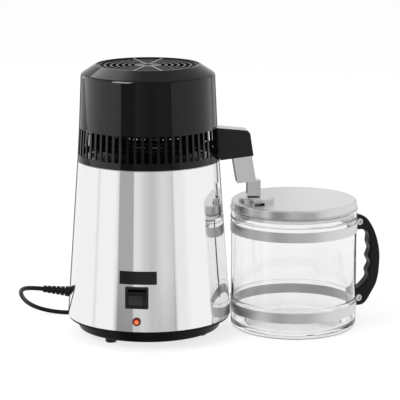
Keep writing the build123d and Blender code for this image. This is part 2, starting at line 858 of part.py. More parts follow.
with BuildPart() as fan_grille:
    with BuildSketch(boiler_level(grille_foot)):
        Circle(grille_edge_radius)
    extrude(amount=grille_thickness)
    for index in range(grille_ring_count):
        slot_outer = rings_radius - ring_step * index
        with BuildSketch(boiler_level(grille_foot)):
            Circle(slot_outer)
            Circle(slot_outer - ring_step + grille_ring_width, mode=Mode.SUBTRACT)
        extrude(amount=grille_thickness, mode=Mode.SUBTRACT)
    with Locations(boiler_level(0)):
        for azimuth in grille_rib_azimuths:
            with PolarLocations(0, 1, start_angle=azimuth):
                add(grille_rib.part)
    with BuildSketch(boiler_level(grille_top + grille_rib_proud)):
        Circle(grille_eye_radius)
    extrude(amount=-(grille_rib_proud + grille_eye_depth), mode=Mode.SUBTRACT)
write(fan_grille.part, "fan_grille")

# Steam plate: a shallow steel cone that closes the head, with a collar for the condenser's riser
steam_plate_radius = collar_foot_radius - collar_wall - 2 * part_gap
steam_top = steam_plate_foot + steam_rise
cone_edge = collar_ledge_radius - steam_cone_inside
riser_bore = coil_tube_radius + screw_clearance
with BuildPart() as steam_plate:
    with BuildSketch(boiler_section):
        with BuildLine():
            Polyline(
                (riser_bore, steam_top), (steam_flat_radius, steam_top),
                (cone_edge, steam_plate_foot), (steam_plate_radius, steam_plate_foot),
                (steam_plate_radius, steam_plate_foot + plate_wall),
                (cone_edge, steam_plate_foot + plate_wall),
                (steam_flat_radius, steam_top + plate_wall), (riser_collar_radius, steam_top + plate_wall),
                (riser_collar_radius, steam_top + riser_collar_height),
                (riser_bore, steam_top + riser_collar_height), close=True,
            )
        make_face()
    revolve(axis=boiler_axis)
    with BuildSketch(boiler_level(steam_plate_foot)):
        with PolarLocations(head_screw_pitch, head_screw_count, start_angle=head_screw_azimuth):
            Circle(head_screw_radius + screw_clearance)
    extrude(amount=plate_wall, mode=Mode.SUBTRACT)
write(steam_plate.part, "steam_plate")

# Screws that hold the steam plate to the collar's ledge
with BuildPart() as head_screws:
    with Locations(boiler_level(steam_plate_foot)):
        with PolarLocations(head_screw_pitch, head_screw_count, start_angle=head_screw_azimuth):
            Cylinder(
                head_screw_head, head_screw_head_height, align=(Align.CENTER, Align.CENTER, Align.MAX),
            )
            Cylinder(
                head_screw_radius, plate_wall + head_screw_grip,
                align=(Align.CENTER, Align.CENTER, Align.MIN),
            )
write(head_screws.part, "head_screws")

# Seal between the pot's rim and the steam plate
seal_bore = pot_radius + seal_inset
with BuildPart() as seal_ring:
    with BuildSketch(boiler_section):
        with Locations(((seal_bore + steam_plate_radius) / 2, pot_rim_top + seal_height / 2)):
            Rectangle(steam_plate_radius - seal_bore, seal_height)
    revolve(axis=boiler_axis)
write(seal_ring.part, "seal_ring")

# Condenser: one steel tube, up from the steam plate, round the coil and out to the spout
coil_end_azimuth = spout_azimuth - coil_outlet_turn
coil_slope = coil_pitch / (2 * pi * coil_radius)
outlet_run = coil_radius * tan(radians(coil_outlet_turn))
outlet_reach = collar_foot_radius + outlet_past_collar


def coil_point(turns_left):
    """A point on the condenser's helix, counted in turns above its lower end."""
    height = coil_outlet_height + outlet_run * coil_slope + turns_left * coil_pitch
    return around_boiler(coil_radius, coil_end_azimuth - 360 * turns_left, height)


def coil_heading(turns_left):
    """The helix's heading there, round to the left and down."""
    turn = radians(coil_end_azimuth - 360 * turns_left)
    return Vector(-sin(turn), cos(turn), -coil_slope).normalized()


quarter_turns = [coil_turns - quarter / 4 for quarter in range(4 * coil_turns + 1)]
coil_start = coil_point(coil_turns)
coil_before = coil_start - coil_heading(coil_turns) * coil_lead_in
outlet_corner = coil_point(0) + coil_heading(0) * outlet_run
outlet_end = around_boiler(outlet_reach, spout_azimuth, outlet_corner.Z)
riser_foot = steam_top - riser_in_collar
with BuildPart() as condenser_coil:
    with BuildLine() as coil_path:
        FilletPolyline(
            (boiler_x, 0, riser_foot), (boiler_x, 0, riser_top), coil_before, coil_start,
            radius=[riser_bend, coil_bend],
        )
        arcs_through([coil_point(t) for t in quarter_turns], [coil_heading(t) for t in quarter_turns])
        FilletPolyline(coil_point(0), outlet_corner, outlet_end, radius=coil_bend)
    with BuildSketch(Plane(origin=(boiler_x, 0, riser_foot), z_dir=(0, 0, 1))):
        Circle(coil_tube_radius)
        Circle(coil_bore_radius, mode=Mode.SUBTRACT)
    sweep(path=coil_path.wires()[0])
write(condenser_coil.part, "condenser_coil")
coil_samples = [coil_point(step / samples_per_turn) for step in range(samples_per_turn * coil_turns)]
coil_gap = least_gap(coil_samples, samples_per_turn // 2, 2 * coil_tube_radius)
print("condenser least gap to itself", round(coil_gap, 2))

# Fan bracket: a ring under the dome's ledge with three arms to the motor's plate
with BuildPart() as fan_bracket:
    with BuildSketch(boiler_level(bracket_foot)):
        Circle(dome_ledge_radius + bracket_ring_outside)
        Circle(dome_ledge_radius - bracket_ring_inside, mode=Mode.SUBTRACT)
        with PolarLocations(dome_ledge_radius / 2, bracket_screw_count, start_angle=bracket_azimuth):
            Rectangle(dome_ledge_radius, bracket_arm_width)
        Circle(motor_radius + bracket_plate_lap)
        with PolarLocations(bracket_screw_pitch, bracket_screw_count, start_angle=bracket_azimuth):
            Circle(bracket_screw_radius + screw_clearance, mode=Mode.SUBTRACT)
    extrude(amount=bracket_thickness)
write(fan_bracket.part, "fan_bracket")

with BuildPart() as bracket_screws:
    with Locations(boiler_level(bracket_foot)):
        with PolarLocations(bracket_screw_pitch, bracket_screw_count, start_angle=bracket_azimuth):
            Cylinder(
                bracket_screw_head, bracket_screw_head_height,
                align=(Align.CENTER, Align.CENTER, Align.MAX),
            )
            Cylinder(
                bracket_screw_radius, bracket_thickness + bracket_screw_grip,
                align=(Align.CENTER, Align.CENTER, Align.MIN),
            )
write(bracket_screws.part, "bracket_screws")

# Fan motor, hung under the bracket
with BuildPart() as fan_motor:
    with Locations(boiler_level(bracket_foot)):
        Cylinder(motor_radius, motor_height, align=(Align.CENTER, Align.CENTER, Align.MAX))
    fillet(fan_motor.edges().group_by(Axis.Z)[0], motor_corner)
    with Locations(boiler_level(bracket_foot - motor_height)):
        Cylinder(
            shaft_radius + shaft_clearance, shaft_grip + shaft_end_room,
            align=(Align.CENTER, Align.CENTER, Align.MIN), mode=Mode.SUBTRACT,
        )
write(fan_motor.part, "fan_motor")

# Shaft from the motor to the fan's hub
shaft_top = bracket_foot - motor_height + shaft_grip
with BuildPart() as motor_shaft:
    with Locations(boiler_level(fan_hub_bottom)):
        Cylinder(shaft_radius, shaft_top - fan_hub_bottom, align=(Align.CENTER, Align.CENTER, Align.MIN))
write(motor_shaft.part, "motor_shaft")

# One fan blade, twisted from the hub to its tip
fan_middle = fan_hub_bottom + fan_hub_height / 2
with BuildPart() as fan_blade:
    blade_root = (fan_hub_radius - fan_blade_root, 0, fan_middle)
    with BuildSketch(Plane(origin=blade_root, x_dir=(0, 1, 0), z_dir=(1, 0, 0))):
        Rectangle(fan_root_chord, fan_blade_thickness, rotation=fan_blade_pitch)
    with BuildSketch(Plane(origin=(fan_radius, 0, fan_middle), x_dir=(0, 1, 0), z_dir=(1, 0, 0))):
        Rectangle(fan_tip_chord, fan_blade_thickness, rotation=fan_tip_pitch)
    loft()

with BuildPart() as fan_blades:
    with Locations(boiler_level(fan_hub_bottom)):
        Cylinder(fan_hub_radius, fan_hub_height, align=(Align.CENTER, Align.CENTER, Align.MIN))
    with Locations(boiler_level(0)):
        with PolarLocations(0, fan_blade_count):
            add(fan_blade.part)
    with Locations(boiler_level(fan_hub_bottom)):
        Cylinder(
            shaft_radius, fan_hub_height, align=(Align.CENTER, Align.CENTER, Align.MIN),
            mode=Mode.SUBTRACT,
        )
write(fan_blades.part, "fan_blades")

# What the spout's arm is fitted against: the collar's outside, and room round the casing's top
head_core_foot = arm_root_foot - casing_foot
head_core_radius = collar_foot_radius + arm_casing_gap
with BuildPart() as head_core:
    with BuildSketch(boiler_section):
        with BuildLine():
            Polyline(
                (0, head_core_foot), (head_core_radius, head_core_foot),
                (head_core_radius, collar_foot), (collar_foot_radius, collar_foot),
                (collar_top_radius, collar_top), (0, collar_top), close=True,
            )
        make_face()
    revolve(axis=boiler_axis)

# Chute: a polished steel box that leans out of the arm
chute_lean_rate = tan(radians(chute_lean))
chute_foot_left = chute_reach - chute_width * cos(radians(chute_lean))
chute_foot_drop = (chute_reach - chute_foot_left) * tan(radians(chute_foot_slope))
chute_top = arm_end_foot + chute_inside_arm
outlet_start = around_boiler(outlet_bend, spout_azimuth, outlet_corner.Z)
outlet_fall = outlet_corner.Z - tip_mouth_height - outlet_in_tip
outlet_foot = around_boiler(
    tip_reach - outlet_foot_behind_tip, spout_azimuth, outlet_corner.Z - outlet_fall,
)
outlet_line = Axis(outlet_start, outlet_foot - outlet_start)
outlet_length = (outlet_foot - outlet_start).length
outlet_section = Plane(origin=outlet_line.position, z_dir=outlet_line.direction)


def chute_outline(inset):
    """The chute's outline in the spout's side plane, drawn in by a wall's thickness."""
    right = chute_reach - inset
    left = chute_foot_left + inset
    foot = chute_foot + inset
    top = chute_top
    return [
        (left, foot - (right - left) * tan(radians(chute_foot_slope))), (right, foot),
        (right - (top - foot) * chute_lean_rate, top),
        (left - (top - foot + chute_foot_drop) * chute_lean_rate, top),
    ]


with BuildPart() as chute_core:
    with BuildSketch(spout_side):
        with BuildLine():
            Polyline(*chute_outline(0), close=True)
        make_face()
    extrude(amount=chute_width / 2, both=True)

with BuildPart() as spout_chute:
    add(chute_core.part)
    with BuildSketch(spout_side):
        with BuildLine():
            Polyline(*chute_outline(chute_wall), close=True)
        make_face()
    extrude(amount=chute_width / 2 - chute_wall, both=True, mode=Mode.SUBTRACT)
    with BuildSketch(outlet_section):
        Circle(outlet_radius + hole_clearance)
    extrude(amount=outlet_length, mode=Mode.SUBTRACT)
write(spout_chute.part, "spout_chute")

# Nozzle tip: a short square tube closed at its top, fitted to the chute's foot
with BuildPart() as nozzle_tip:
    with BuildSketch(spout_side):
        with Locations((tip_reach - tip_width / 2, tip_mouth_height + tip_length / 2)):
            Rectangle(tip_width, tip_length)
    extrude(amount=tip_width / 2, both=True)
    with BuildSketch(spout_side):
        with Locations((tip_reach - tip_width / 2, tip_mouth_height + tip_length / 2 - tip_wall)):
            Rectangle(tip_width - 2 * tip_wall, tip_length)
    extrude(amount=tip_width / 2 - tip_wall, both=True, mode=Mode.SUBTRACT)
    add(chute_core.part, mode=Mode.SUBTRACT)
    with BuildSketch(outlet_section):
        Circle(outlet_radius + hole_clearance)
    extrude(amount=outlet_length, mode=Mode.SUBTRACT)
write(nozzle_tip.part, "nozzle_tip")

# Arm: a black box open below for the chute and open behind against the collar
arm_lean_rate = tan(radians(arm_end_lean))
arm_fall_rate = tan(radians(arm_top_fall))
arm_foot_rate = (arm_end_foot - arm_root_foot) / (arm_reach - collar_foot_radius)
arm_root = collar_foot_radius - arm_root_depth


def arm_outline(inset):
    """The arm's outline in the spout's side plane, drawn in by a wall's thickness."""
    reach = arm_reach - inset
    foot = arm_end_foot + inset
    top = arm_root_top - inset
    corner_x = (reach - arm_lean_rate * (top + arm_fall_rate * collar_foot_radius - foot)) / (
        1 - arm_lean_rate * arm_fall_rate
    )
    return [
        (arm_root, foot - arm_foot_rate * (reach - arm_root)), (reach, foot),
        (corner_x, top - arm_fall_rate * (corner_x - collar_foot_radius)),
        (arm_root, top - arm_fall_rate * (arm_root - collar_foot_radius)),
    ]


def round_nose(sketch, radius):
    """Rounds the arm's upper front corner."""
    corner = arm_outline(0)[2]
    nearest = min(sketch.vertices(), key=lambda v: hypot(v.X - corner[0], v.Y - corner[1]))
    return fillet(nearest, radius)


with BuildPart() as spout_arm:
    with BuildSketch(spout_side) as arm_side:
        with BuildLine():
            Polyline(*arm_outline(0), close=True)
        make_face()
        round_nose(arm_side.sketch_local, arm_corner)
    extrude(amount=arm_width / 2, both=True)
    arm_sides = spout_arm.faces().filter_by(Plane(spout_side.origin, z_dir=spout_side.z_dir))
    fillet([e for face in arm_sides for e in face.edges()], arm_edge)
    with BuildSketch(spout_side) as arm_inside:
        with BuildLine():
            Polyline(*arm_outline(arm_wall), close=True)
        make_face()
        round_nose(arm_inside.sketch_local, arm_corner - arm_wall)
    extrude(amount=arm_width / 2 - arm_wall, both=True, mode=Mode.SUBTRACT)
    add(head_core.part, mode=Mode.SUBTRACT)
    add(chute_core.part, mode=Mode.SUBTRACT)
write(spout_arm.part, "spout_arm")

# Outlet tube, from the condenser's end down the chute into the tip
with BuildPart() as outlet_tube:
    with BuildLine() as outlet_path:
        FilletPolyline(outlet_end, outlet_start, outlet_foot, radius=outlet_bend_radius)
    with BuildSketch(Plane(origin=outlet_end, z_dir=outlet_path.wires()[0] % 0)):
        Circle(outlet_radius)
        Circle(outlet_bore_radius, mode=Mode.SUBTRACT)
    sweep(path=outlet_path.wires()[0])
write(outlet_tube.part, "outlet_tube")

# Glass jug: straight sides, a thick floor with a push-up below, and two small beads
bead_heights = (
    lower_band_height + band_height + bead_over_lower_band,
    upper_band_height + band_height + bead_over_upper_band,
)
jug_bore = jug_radius - jug_wall
with BuildPart() as glass_jug:
    with BuildSketch(jug_section):
        with BuildLine():
            Polyline(
                (0, jug_push_up), (jug_radius - jug_foot_width - jug_push_up, jug_push_up),
                (jug_radius - jug_foot_width, 0), (jug_radius, 0), (jug_radius, jug_rim_height),
                (jug_bore, jug_rim_height), (jug_bore, jug_floor), (0, jug_floor), close=True,
            )
        make_face()
    revolve(axis=jug_axis)
    jug_edges = glass_jug.edges().filter_by(GeomType.CIRCLE)
    outer_corner = [e for e in jug_edges if abs(e.radius - jug_radius) < 0.01 and e.center().Z < 0.1]
    fillet(outer_corner, jug_corner)
    jug_edges = glass_jug.edges().filter_by(GeomType.CIRCLE)
    inner_corner = [
        e for e in jug_edges
        if abs(e.radius - jug_bore) < 0.01 and abs(e.center().Z - jug_floor) < 0.1
    ]
    fillet(inner_corner, jug_corner - jug_wall)
    with BuildSketch(jug_section):
        for height in bead_heights:
            with Locations((jug_radius - jug_bead_sunk, height)):
                Circle(jug_bead + jug_bead_sunk)
    revolve(axis=jug_axis)
    with BuildSketch(jug_level(jug_floor + jug_corner)):
        Circle(jug_bore)
    extrude(amount=jug_rim_height - jug_floor - jug_corner, mode=Mode.SUBTRACT)
write(glass_jug.part, "glass_jug")

# Steel bands round the jug, their ends bent out as two ears that the handle is screwed through
handle_side = radial_section(jug_x, handle_azimuth)
band_bore = jug_radius + band_clearance
band_radius = band_bore + band_thickness
ear_tip = jug_radius + ear_reach


def band(foot, screw_height, name):
    """One band with its pair of ears."""
    top = foot + band_height
    with BuildPart() as steel_band:
        with BuildSketch(jug_level(foot)):
            Circle(band_radius)
            Circle(band_bore, mode=Mode.SUBTRACT)
        extrude(amount=band_height)
        with BuildSketch(handle_side):
            with Locations((jug_radius, foot + band_height / 2)):
                Rectangle(2 * cut_reach, band_height + cut_reach)
        extrude(amount=ear_gap / 2, both=True, mode=Mode.SUBTRACT)
        for side in (-1, 1):
            with BuildSketch(handle_side.offset(side * (ear_gap + band_thickness) / 2)):
                with BuildLine():
                    Polyline(
                        (band_radius - ear_sunk, foot), (ear_tip - ear_corner, foot),
                        (ear_tip, foot + ear_corner), (ear_tip, top - ear_corner),
                        (ear_tip - ear_corner, top), (band_radius - ear_sunk, top), close=True,
                    )
                make_face()
                with Locations((handle_screw_radius, screw_height)):
                    Circle(screw_radius + hole_clearance, mode=Mode.SUBTRACT)
            extrude(amount=band_thickness / 2, both=True)
    write(steel_band.part, name)


band(upper_band_height, upper_screw_height, "upper_band")
band(lower_band_height, lower_screw_height, "lower_band")

# Handle: a black grip with finger hollows, slotted at both ends for the bands' ears
handle_start = (band_radius + handle_band_gap - jug_radius) / handle_out


def handle_point(out, up):
    """A point of the handle's side, by its share of the way out and its share of the way up the bands."""
    return (jug_radius + out * handle_out, lower_band_height + up * band_rise)


handle_outside = [handle_point(out, up) for out, up in (
    (handle_start, -0.028), (0.279, -0.042), (0.431, -0.032), (0.538, -0.001), (0.701, 0.093),
    (0.862, 0.197), (0.965, 0.324), (1.000, 0.452), (1.007, 0.592), (0.943, 0.753), (0.811, 0.906),
    (0.655, 1.016), (0.488, 1.090), (0.308, 1.125), (handle_start, 1.135),
)]
handle_inside = [handle_point(out, up) for out, up in (
    (handle_start, 0.943), (0.171, 0.938), (0.358, 0.934), (0.523, 0.911), (0.607, 0.864),
    (0.598, 0.765), (0.664, 0.673), (0.589, 0.577), (0.675, 0.493), (0.576, 0.398), (0.611, 0.337),
    (0.499, 0.261), (0.336, 0.206), (0.229, 0.186), (handle_start, 0.173),
)]
slot_width = ear_gap + 2 * band_thickness + 2 * part_gap
handle_end = band_radius + handle_band_gap
slot_reach = ear_tip + part_gap - handle_end
screw_places = ((handle_screw_radius, upper_screw_height), (handle_screw_radius, lower_screw_height))
with BuildPart() as jug_handle:
    with BuildSketch(handle_side):
        with BuildLine():
            Spline(*handle_outside)
            Line(handle_outside[-1], handle_inside[0])
            Spline(*handle_inside)
            Line(handle_inside[-1], handle_outside[0])
        make_face()
    extrude(amount=handle_width / 2, both=True)
    handle_faces = jug_handle.faces().filter_by(Plane(handle_side.origin, z_dir=handle_side.z_dir))
    long_edges = [e for face in handle_faces for e in face.edges() if e.geom_type != GeomType.LINE]
    fillet(long_edges, handle_edge)
    with BuildSketch(handle_side):
        for height in (upper_band_height, lower_band_height):
            with Locations((handle_end, height + band_height / 2)):
                Rectangle(2 * slot_reach, band_height + 2 * part_gap)
    extrude(amount=slot_width / 2, both=True, mode=Mode.SUBTRACT)
    with BuildSketch(handle_side):
        with Locations(*screw_places):
            Circle(screw_radius + hole_clearance)
    extrude(amount=handle_width, both=True, mode=Mode.SUBTRACT)
    with BuildSketch(handle_side.offset(handle_width / 2 - head_recess)):
        with Locations(*screw_places):
            Circle(handle_screw_head + hole_clearance)
    extrude(amount=handle_width, mode=Mode.SUBTRACT)
    with BuildSketch(handle_side.offset(head_recess - handle_width / 2)):
        with Locations(*screw_places):
            Circle(handle_screw_head + hole_clearance)
    extrude(amount=-handle_width, mode=Mode.SUBTRACT)
write(jug_handle.part, "jug_handle")

# Handle screws, with domed socket heads on the near side
head_foot = handle_width / 2 - head_recess
with BuildPart() as handle_screws:
    with BuildSketch(handle_side.offset(head_foot)):
        with Locations(*screw_places):
            Circle(handle_screw_head)
    extrude(amount=head_recess + handle_screw_proud)
    screw_axis = Axis((0, 0, 0), handle_side.z_dir)
    fillet(handle_screws.edges().sort_by(screw_axis)[-2:], handle_screw_round)
    with BuildSketch(handle_side.offset(head_foot + head_recess + handle_screw_proud)):
        with Locations(*screw_places):
            RegularPolygon(handle_screw_socket, 6)
    extrude(amount=-handle_screw_socket_depth, mode=Mode.SUBTRACT)
    with BuildSketch(handle_side.offset(head_foot)):
        with Locations(*screw_places):
            Circle(screw_radius)
    extrude(amount=-(2 * head_foot + handle_nut_thickness))
write(handle_screws.part, "handle_screws")

# Nuts on the far side
with BuildPart() as handle_nuts:
    with BuildSketch(handle_side.offset(-head_foot)):
        with Locations(*screw_places):
            RegularPolygon(handle_nut_radius, 6)
            Circle(screw_radius + screw_clearance, mode=Mode.SUBTRACT)
    extrude(amount=-handle_nut_thickness)
write(handle_nuts.part, "handle_nuts")

# Jug lid: a brushed steel cap with a flange on the rim and a plug skirt inside it
plug_radius = jug_bore - hole_clearance - gasket_width
lid_top_radius = jug_radius - lid_inset
lid_flange_radius = jug_radius + lid_overhang
lid_foot = jug_rim_height + lid_wall
plug_foot = jug_rim_height - lid_plug_depth
cap_centre = Vector(
    jug_x + cap_offset * cos(radians(cap_azimuth)), cap_offset * sin(radians(cap_azimuth)), lid_top
)
with BuildPart() as jug_lid:
    with BuildSketch(jug_section):
        with BuildLine():
            Polyline(
                (0, lid_top), (lid_top_radius, lid_top), (lid_top_radius, lid_foot),
                (lid_flange_radius, lid_foot), (lid_flange_radius, jug_rim_height),
                (plug_radius, jug_rim_height), (plug_radius, plug_foot),
                (plug_radius - lid_wall, plug_foot), (plug_radius - lid_wall, lid_foot),
                (lid_top_radius - lid_wall, lid_foot), (lid_top_radius - lid_wall, lid_top - lid_wall),
                (0, lid_top - lid_wall), close=True,
            )
        make_face()
    revolve(axis=jug_axis)
    for radius, height, round_ in (
        (lid_top_radius, lid_top, lid_corner),
        (lid_top_radius - lid_wall, lid_top - lid_wall, lid_corner - lid_wall),
    ):
        lid_edge = jug_lid.edges().filter_by(GeomType.CIRCLE).filter_by(
            lambda edge: abs(edge.radius - radius) < 0.01 and abs(edge.center().Z - height) < 0.01
        )
        fillet(lid_edge, round_)
    with BuildSketch(Plane(cap_centre)):
        Circle(lid_hole_radius)
    extrude(amount=-lid_corner, mode=Mode.SUBTRACT)
write(jug_lid.part, "jug_lid")

# Gasket round the lid's plug skirt
gasket_top = jug_rim_height - hole_clearance
with BuildPart() as lid_gasket:
    with BuildSketch(jug_section):
        with BuildLine():
            Polyline(
                (plug_radius, gasket_top), (plug_radius + gasket_width, gasket_top),
                (plug_radius + gasket_lip, gasket_top - gasket_height),
                (plug_radius, gasket_top - gasket_height), close=True,
            )
        make_face()
    revolve(axis=jug_axis)
write(lid_gasket.part, "lid_gasket")

# Filler cap: a steel cup over the lid's hole, with a spout hole on top and a steam notch at its foot
spigot_radius = lid_hole_radius - spigot_clearance
spigot_foot = lid_top - spigot_depth
with BuildPart() as filler_cap:
    with BuildSketch(Plane(cap_centre)):
        Circle(cap_radius)
    extrude(amount=cap_height)
    fillet(filler_cap.edges().filter_by_position(Axis.Z, cap_top - 0.1, cap_top + 0.1), cap_corner)
    with BuildSketch(Plane(cap_centre)):
        Circle(cap_radius - cap_wall)
    extrude(amount=cap_height - cap_wall, mode=Mode.SUBTRACT)
    with BuildSketch(Plane(cap_centre).offset(spigot_foot - lid_top)):
        Circle(spigot_radius)
        Circle(spigot_radius - spigot_wall, mode=Mode.SUBTRACT)
    extrude(amount=cap_top - spigot_foot - cap_wall)
    with BuildSketch(Plane(cap_centre)):
        Circle(cap_hole_radius)
    extrude(amount=cap_height, mode=Mode.SUBTRACT)
    with BuildSketch(Plane(cap_centre)):
        with Locations((0, -cap_radius)):
            Rectangle(cap_notch_width, 2 * cap_notch_depth)
    extrude(amount=cap_notch_height, mode=Mode.SUBTRACT)
write(filler_cap.part, "filler_cap")

# Strain relief: a clamped collar with a ribbed, tapering sleeve
relief_plane = skin_plane(relief_azimuth, relief_height)
relief_section = Plane(relief_plane.origin, x_dir=relief_plane.x_dir, z_dir=relief_plane.y_dir * -1)
relief_axis = Axis(relief_plane.origin, relief_plane.z_dir)
rib_step = (relief_length - relief_collar_length) / relief_rib_count
groove_radius = lead_radius + relief_wall
groove_foot = -(casing_wall + relief_groove_room)
flange_foot = groove_foot - relief_flange_thickness
relief_outline = [
    (0, flange_foot), (relief_flange_radius, flange_foot), (relief_flange_radius, groove_foot),
    (relief_neck_radius, groove_foot), (relief_neck_radius, 0), (relief_collar_radius, 0),
    (relief_collar_radius, relief_collar_length),
]
for rib in range(relief_rib_count):
    rib_foot = relief_collar_length + rib * rib_step
    rib_radius = relief_rib_radius + (relief_end_radius - relief_rib_radius) * rib / (relief_rib_count - 1)
    groove_end = rib_foot + rib_step * (1 - relief_rib_share)
    relief_outline += [
        (groove_radius, rib_foot), (groove_radius, groove_end),
        (rib_radius, groove_end), (rib_radius, rib_foot + rib_step),
    ]
relief_outline.append((0, relief_length))
with BuildPart() as lead_relief:
    with BuildSketch(relief_section):
        with BuildLine():
            Polyline(*relief_outline, close=True)
        make_face()
    revolve(axis=relief_axis)
write(lead_relief.part, "lead_relief")

# Mains lead: from the strain relief out, round and down to the counter, and behind the boiler
lead_exit_run = 19.7
lead_start = relief_plane.origin + relief_plane.z_dir * relief_length
lead_exit = lead_start + relief_plane.z_dir * lead_exit_run
lead_turns = [
    (-176.0, 68.9, 52.0), (-173.1, 92.8, 36.0), (-161.4, 112.0, 19.5), (-143.4, 121.4, 8.5),
    (-122.3, 120.1, 3.2), (-99.8, 109.8, 3.2), (-76.0, 110.0, 3.2), (-56.0, 121.0, 3.2),
    (-40.0, 130.1, 4.2), (-20.0, 130.1, 4.2),
]
lead_route = [lead_start, lead_exit]
lead_route += [Vector(boiler_x + x, y, z) for x, y, z in lead_turns]


def tube(route, radii, name):
    """A length of round cord along a route, its ends square to it; gives its length back."""
    with BuildPart() as cord:
        with BuildLine() as cord_path:
            FilletPolyline(*route, radius=radii)
        path_wire = cord_path.wires()[0]
        with BuildSketch(Plane(origin=path_wire @ 0, z_dir=path_wire % 0)):
            Circle(lead_radius)
        sweep(path=path_wire)
    write(cord.part, name)
    print(name, "length", round(path_wire.length, 1), "radii", [round(r, 1) for r in radii])
    return [path_wire @ (step / 100) for step in range(101)]


lead_samples = tube(lead_route, easy_radii(lead_route), "mains_lead")

# Put-away coil: a spiral in, a climb of one cord's height, and a spiral out on top
wound_x = boiler_x + wound_centre[0]
wound_y = wound_centre[1]
wound_turns = wound_turns_in + 0.5 + wound_turns_out
wound_outer = wound_mid_radius + wound_step * wound_turns_in / 2
wound_inner = wound_mid_radius - wound_step * wound_turns_in / 2
wound_foot = lead_radius + wound_lift


def wound_point(turns):
    """A point on the coil, counted in turns from its outer end."""
    climb = min(max(turns - wound_turns_in, 0), 0.5) * 2
    height = wound_foot + wound_step * (1 - cos(pi * climb)) / 2
    if turns < wound_turns_in:
        radius = wound_outer - wound_step * turns
    elif turns < wound_turns_in + 0.5:
        radius = wound_inner - wound_step / (2 * pi) * sin(pi * climb)
    else:
        radius = wound_inner + wound_step * (turns - wound_turns_in - 0.5)
    turn = radians(360 * turns - 90)
    return Vector(wound_x + radius * cos(turn), wound_y + radius * sin(turn), height)


def wound_heading(turns):
    """The coil's heading there."""
    step = 0.002
    return (wound_point(turns + step) - wound_point(turns - step)).normalized()


wound_steps = 6
wound_count = round(wound_turns * wound_steps)
wound_places = [index / wound_steps for index in range(wound_count + 1)]
wound_headings = [wound_heading(place) for place in wound_places]
wound_headings[0] = Vector(1, 0, 0)
wound_headings[-1] = Vector(1, 0, 0)
wound_start = wound_point(0)
wound_end = wound_point(wound_turns)
wound_end_line = Vector(wound_end_run, 0, 0)
with BuildPart() as lead_coil:
    with BuildLine() as wound_path:
        Line(wound_start - wound_end_line, wound_start)
        arcs_through([wound_point(place) for place in wound_places], wound_headings)
        Line(wound_end, wound_end + wound_end_line)
    wound_wire = wound_path.wires()[0]
    with BuildSketch(Plane(origin=wound_start - wound_end_line, z_dir=(1, 0, 0))):
        Circle(lead_radius)
    sweep(path=wound_wire)
write(lead_coil.part, "lead_coil")
wound_samples = [
    wound_point(index / samples_per_turn) for index in range(round(wound_turns * samples_per_turn) + 1)
]
wound_gap = least_gap(wound_samples, samples_per_turn // 2, 2 * lead_radius)
print("lead_coil length", round(wound_wire.length, 1), "least gap", round(wound_gap, 2))

# Tail from the coil up to the plug
tail_run = Vector(20, 0, 0)
tail_start = wound_end + wound_end_line
plug_axis_height = plug_face_radius
tail_route = [tail_start, tail_start + tail_run] + [
    Vector(boiler_x + x, y, z)
    for x, y, z in ((36.0, 136.0, 15.5), (52.0, 138.5, plug_axis_height), (68.0, 140.5, plug_axis_height))
]
tube(tail_route, easy_radii(tail_route), "lead_tail")
print("lead least gap to itself", round(least_gap(lead_samples, 12, 2 * lead_radius), 2))

# Tie round the coil
tie_inner = wound_inner - lead_radius - tie_clearance
tie_outer = wound_outer - wound_step / 2 + lead_radius + tie_clearance
tie_foot = tie_thickness + screw_clearance
tie_top = wound_foot + wound_step + lead_radius + part_gap
tie_plane = Plane(origin=(wound_x, wound_y, 0), x_dir=(0, 1, 0), z_dir=(1, 0, 0))
with BuildPart() as coil_tie:
    with BuildSketch(tie_plane):
        with Locations(((tie_inner + tie_outer) / 2, (tie_foot + tie_top) / 2)):
            RectangleRounded(
                tie_outer - tie_inner + 2 * tie_thickness, tie_top - tie_foot + 2 * tie_thickness,
                tie_corner + tie_thickness,
            )
            RectangleRounded(tie_outer - tie_inner, tie_top - tie_foot, tie_corner, mode=Mode.SUBTRACT)
    extrude(amount=tie_width / 2, both=True)
write(coil_tie.part, "coil_tie")

# Mains plug, a round moulded body, and its two pins
tail_wire_end = tail_route[-1]
plug_heading = (tail_route[-1] - tail_route[-2]).normalized()
plug_start = Plane(origin=tail_wire_end, z_dir=plug_heading, x_dir=(0, 0, 1))
plug_section = Plane(origin=tail_wire_end, x_dir=(0, 0, 1), z_dir=Vector(0, 0, 1).cross(plug_heading))
with BuildPart() as mains_plug:
    with BuildSketch(plug_section):
        with BuildLine():
            Polyline(
                (0, 0), (plug_neck_radius, 0), (plug_grip_radius, plug_length * plug_grip_share),
                (plug_face_radius, plug_length * plug_shoulder_share), (plug_face_radius, plug_length),
                (0, plug_length), close=True,
            )
        make_face()
    revolve(axis=Axis(tail_wire_end, plug_heading))
write(mains_plug.part, "mains_plug")
plug_face = plug_start.offset(plug_length)
with BuildPart() as plug_pins:
    with BuildSketch(plug_face):
        with GridLocations(0, plug_pin_spacing, 1, 2):
            Circle(plug_pin_radius)
    extrude(amount=plug_pin_length)
write(plug_pins.part, "plug_pins")

print("boiler_x", round(boiler_x, 2), "jug_x", round(jug_x, 2), "height", round(dome_top, 2))
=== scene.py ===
from math import cos, pi, radians, sin

import bmesh
import bpy
from mathutils import Matrix, Vector


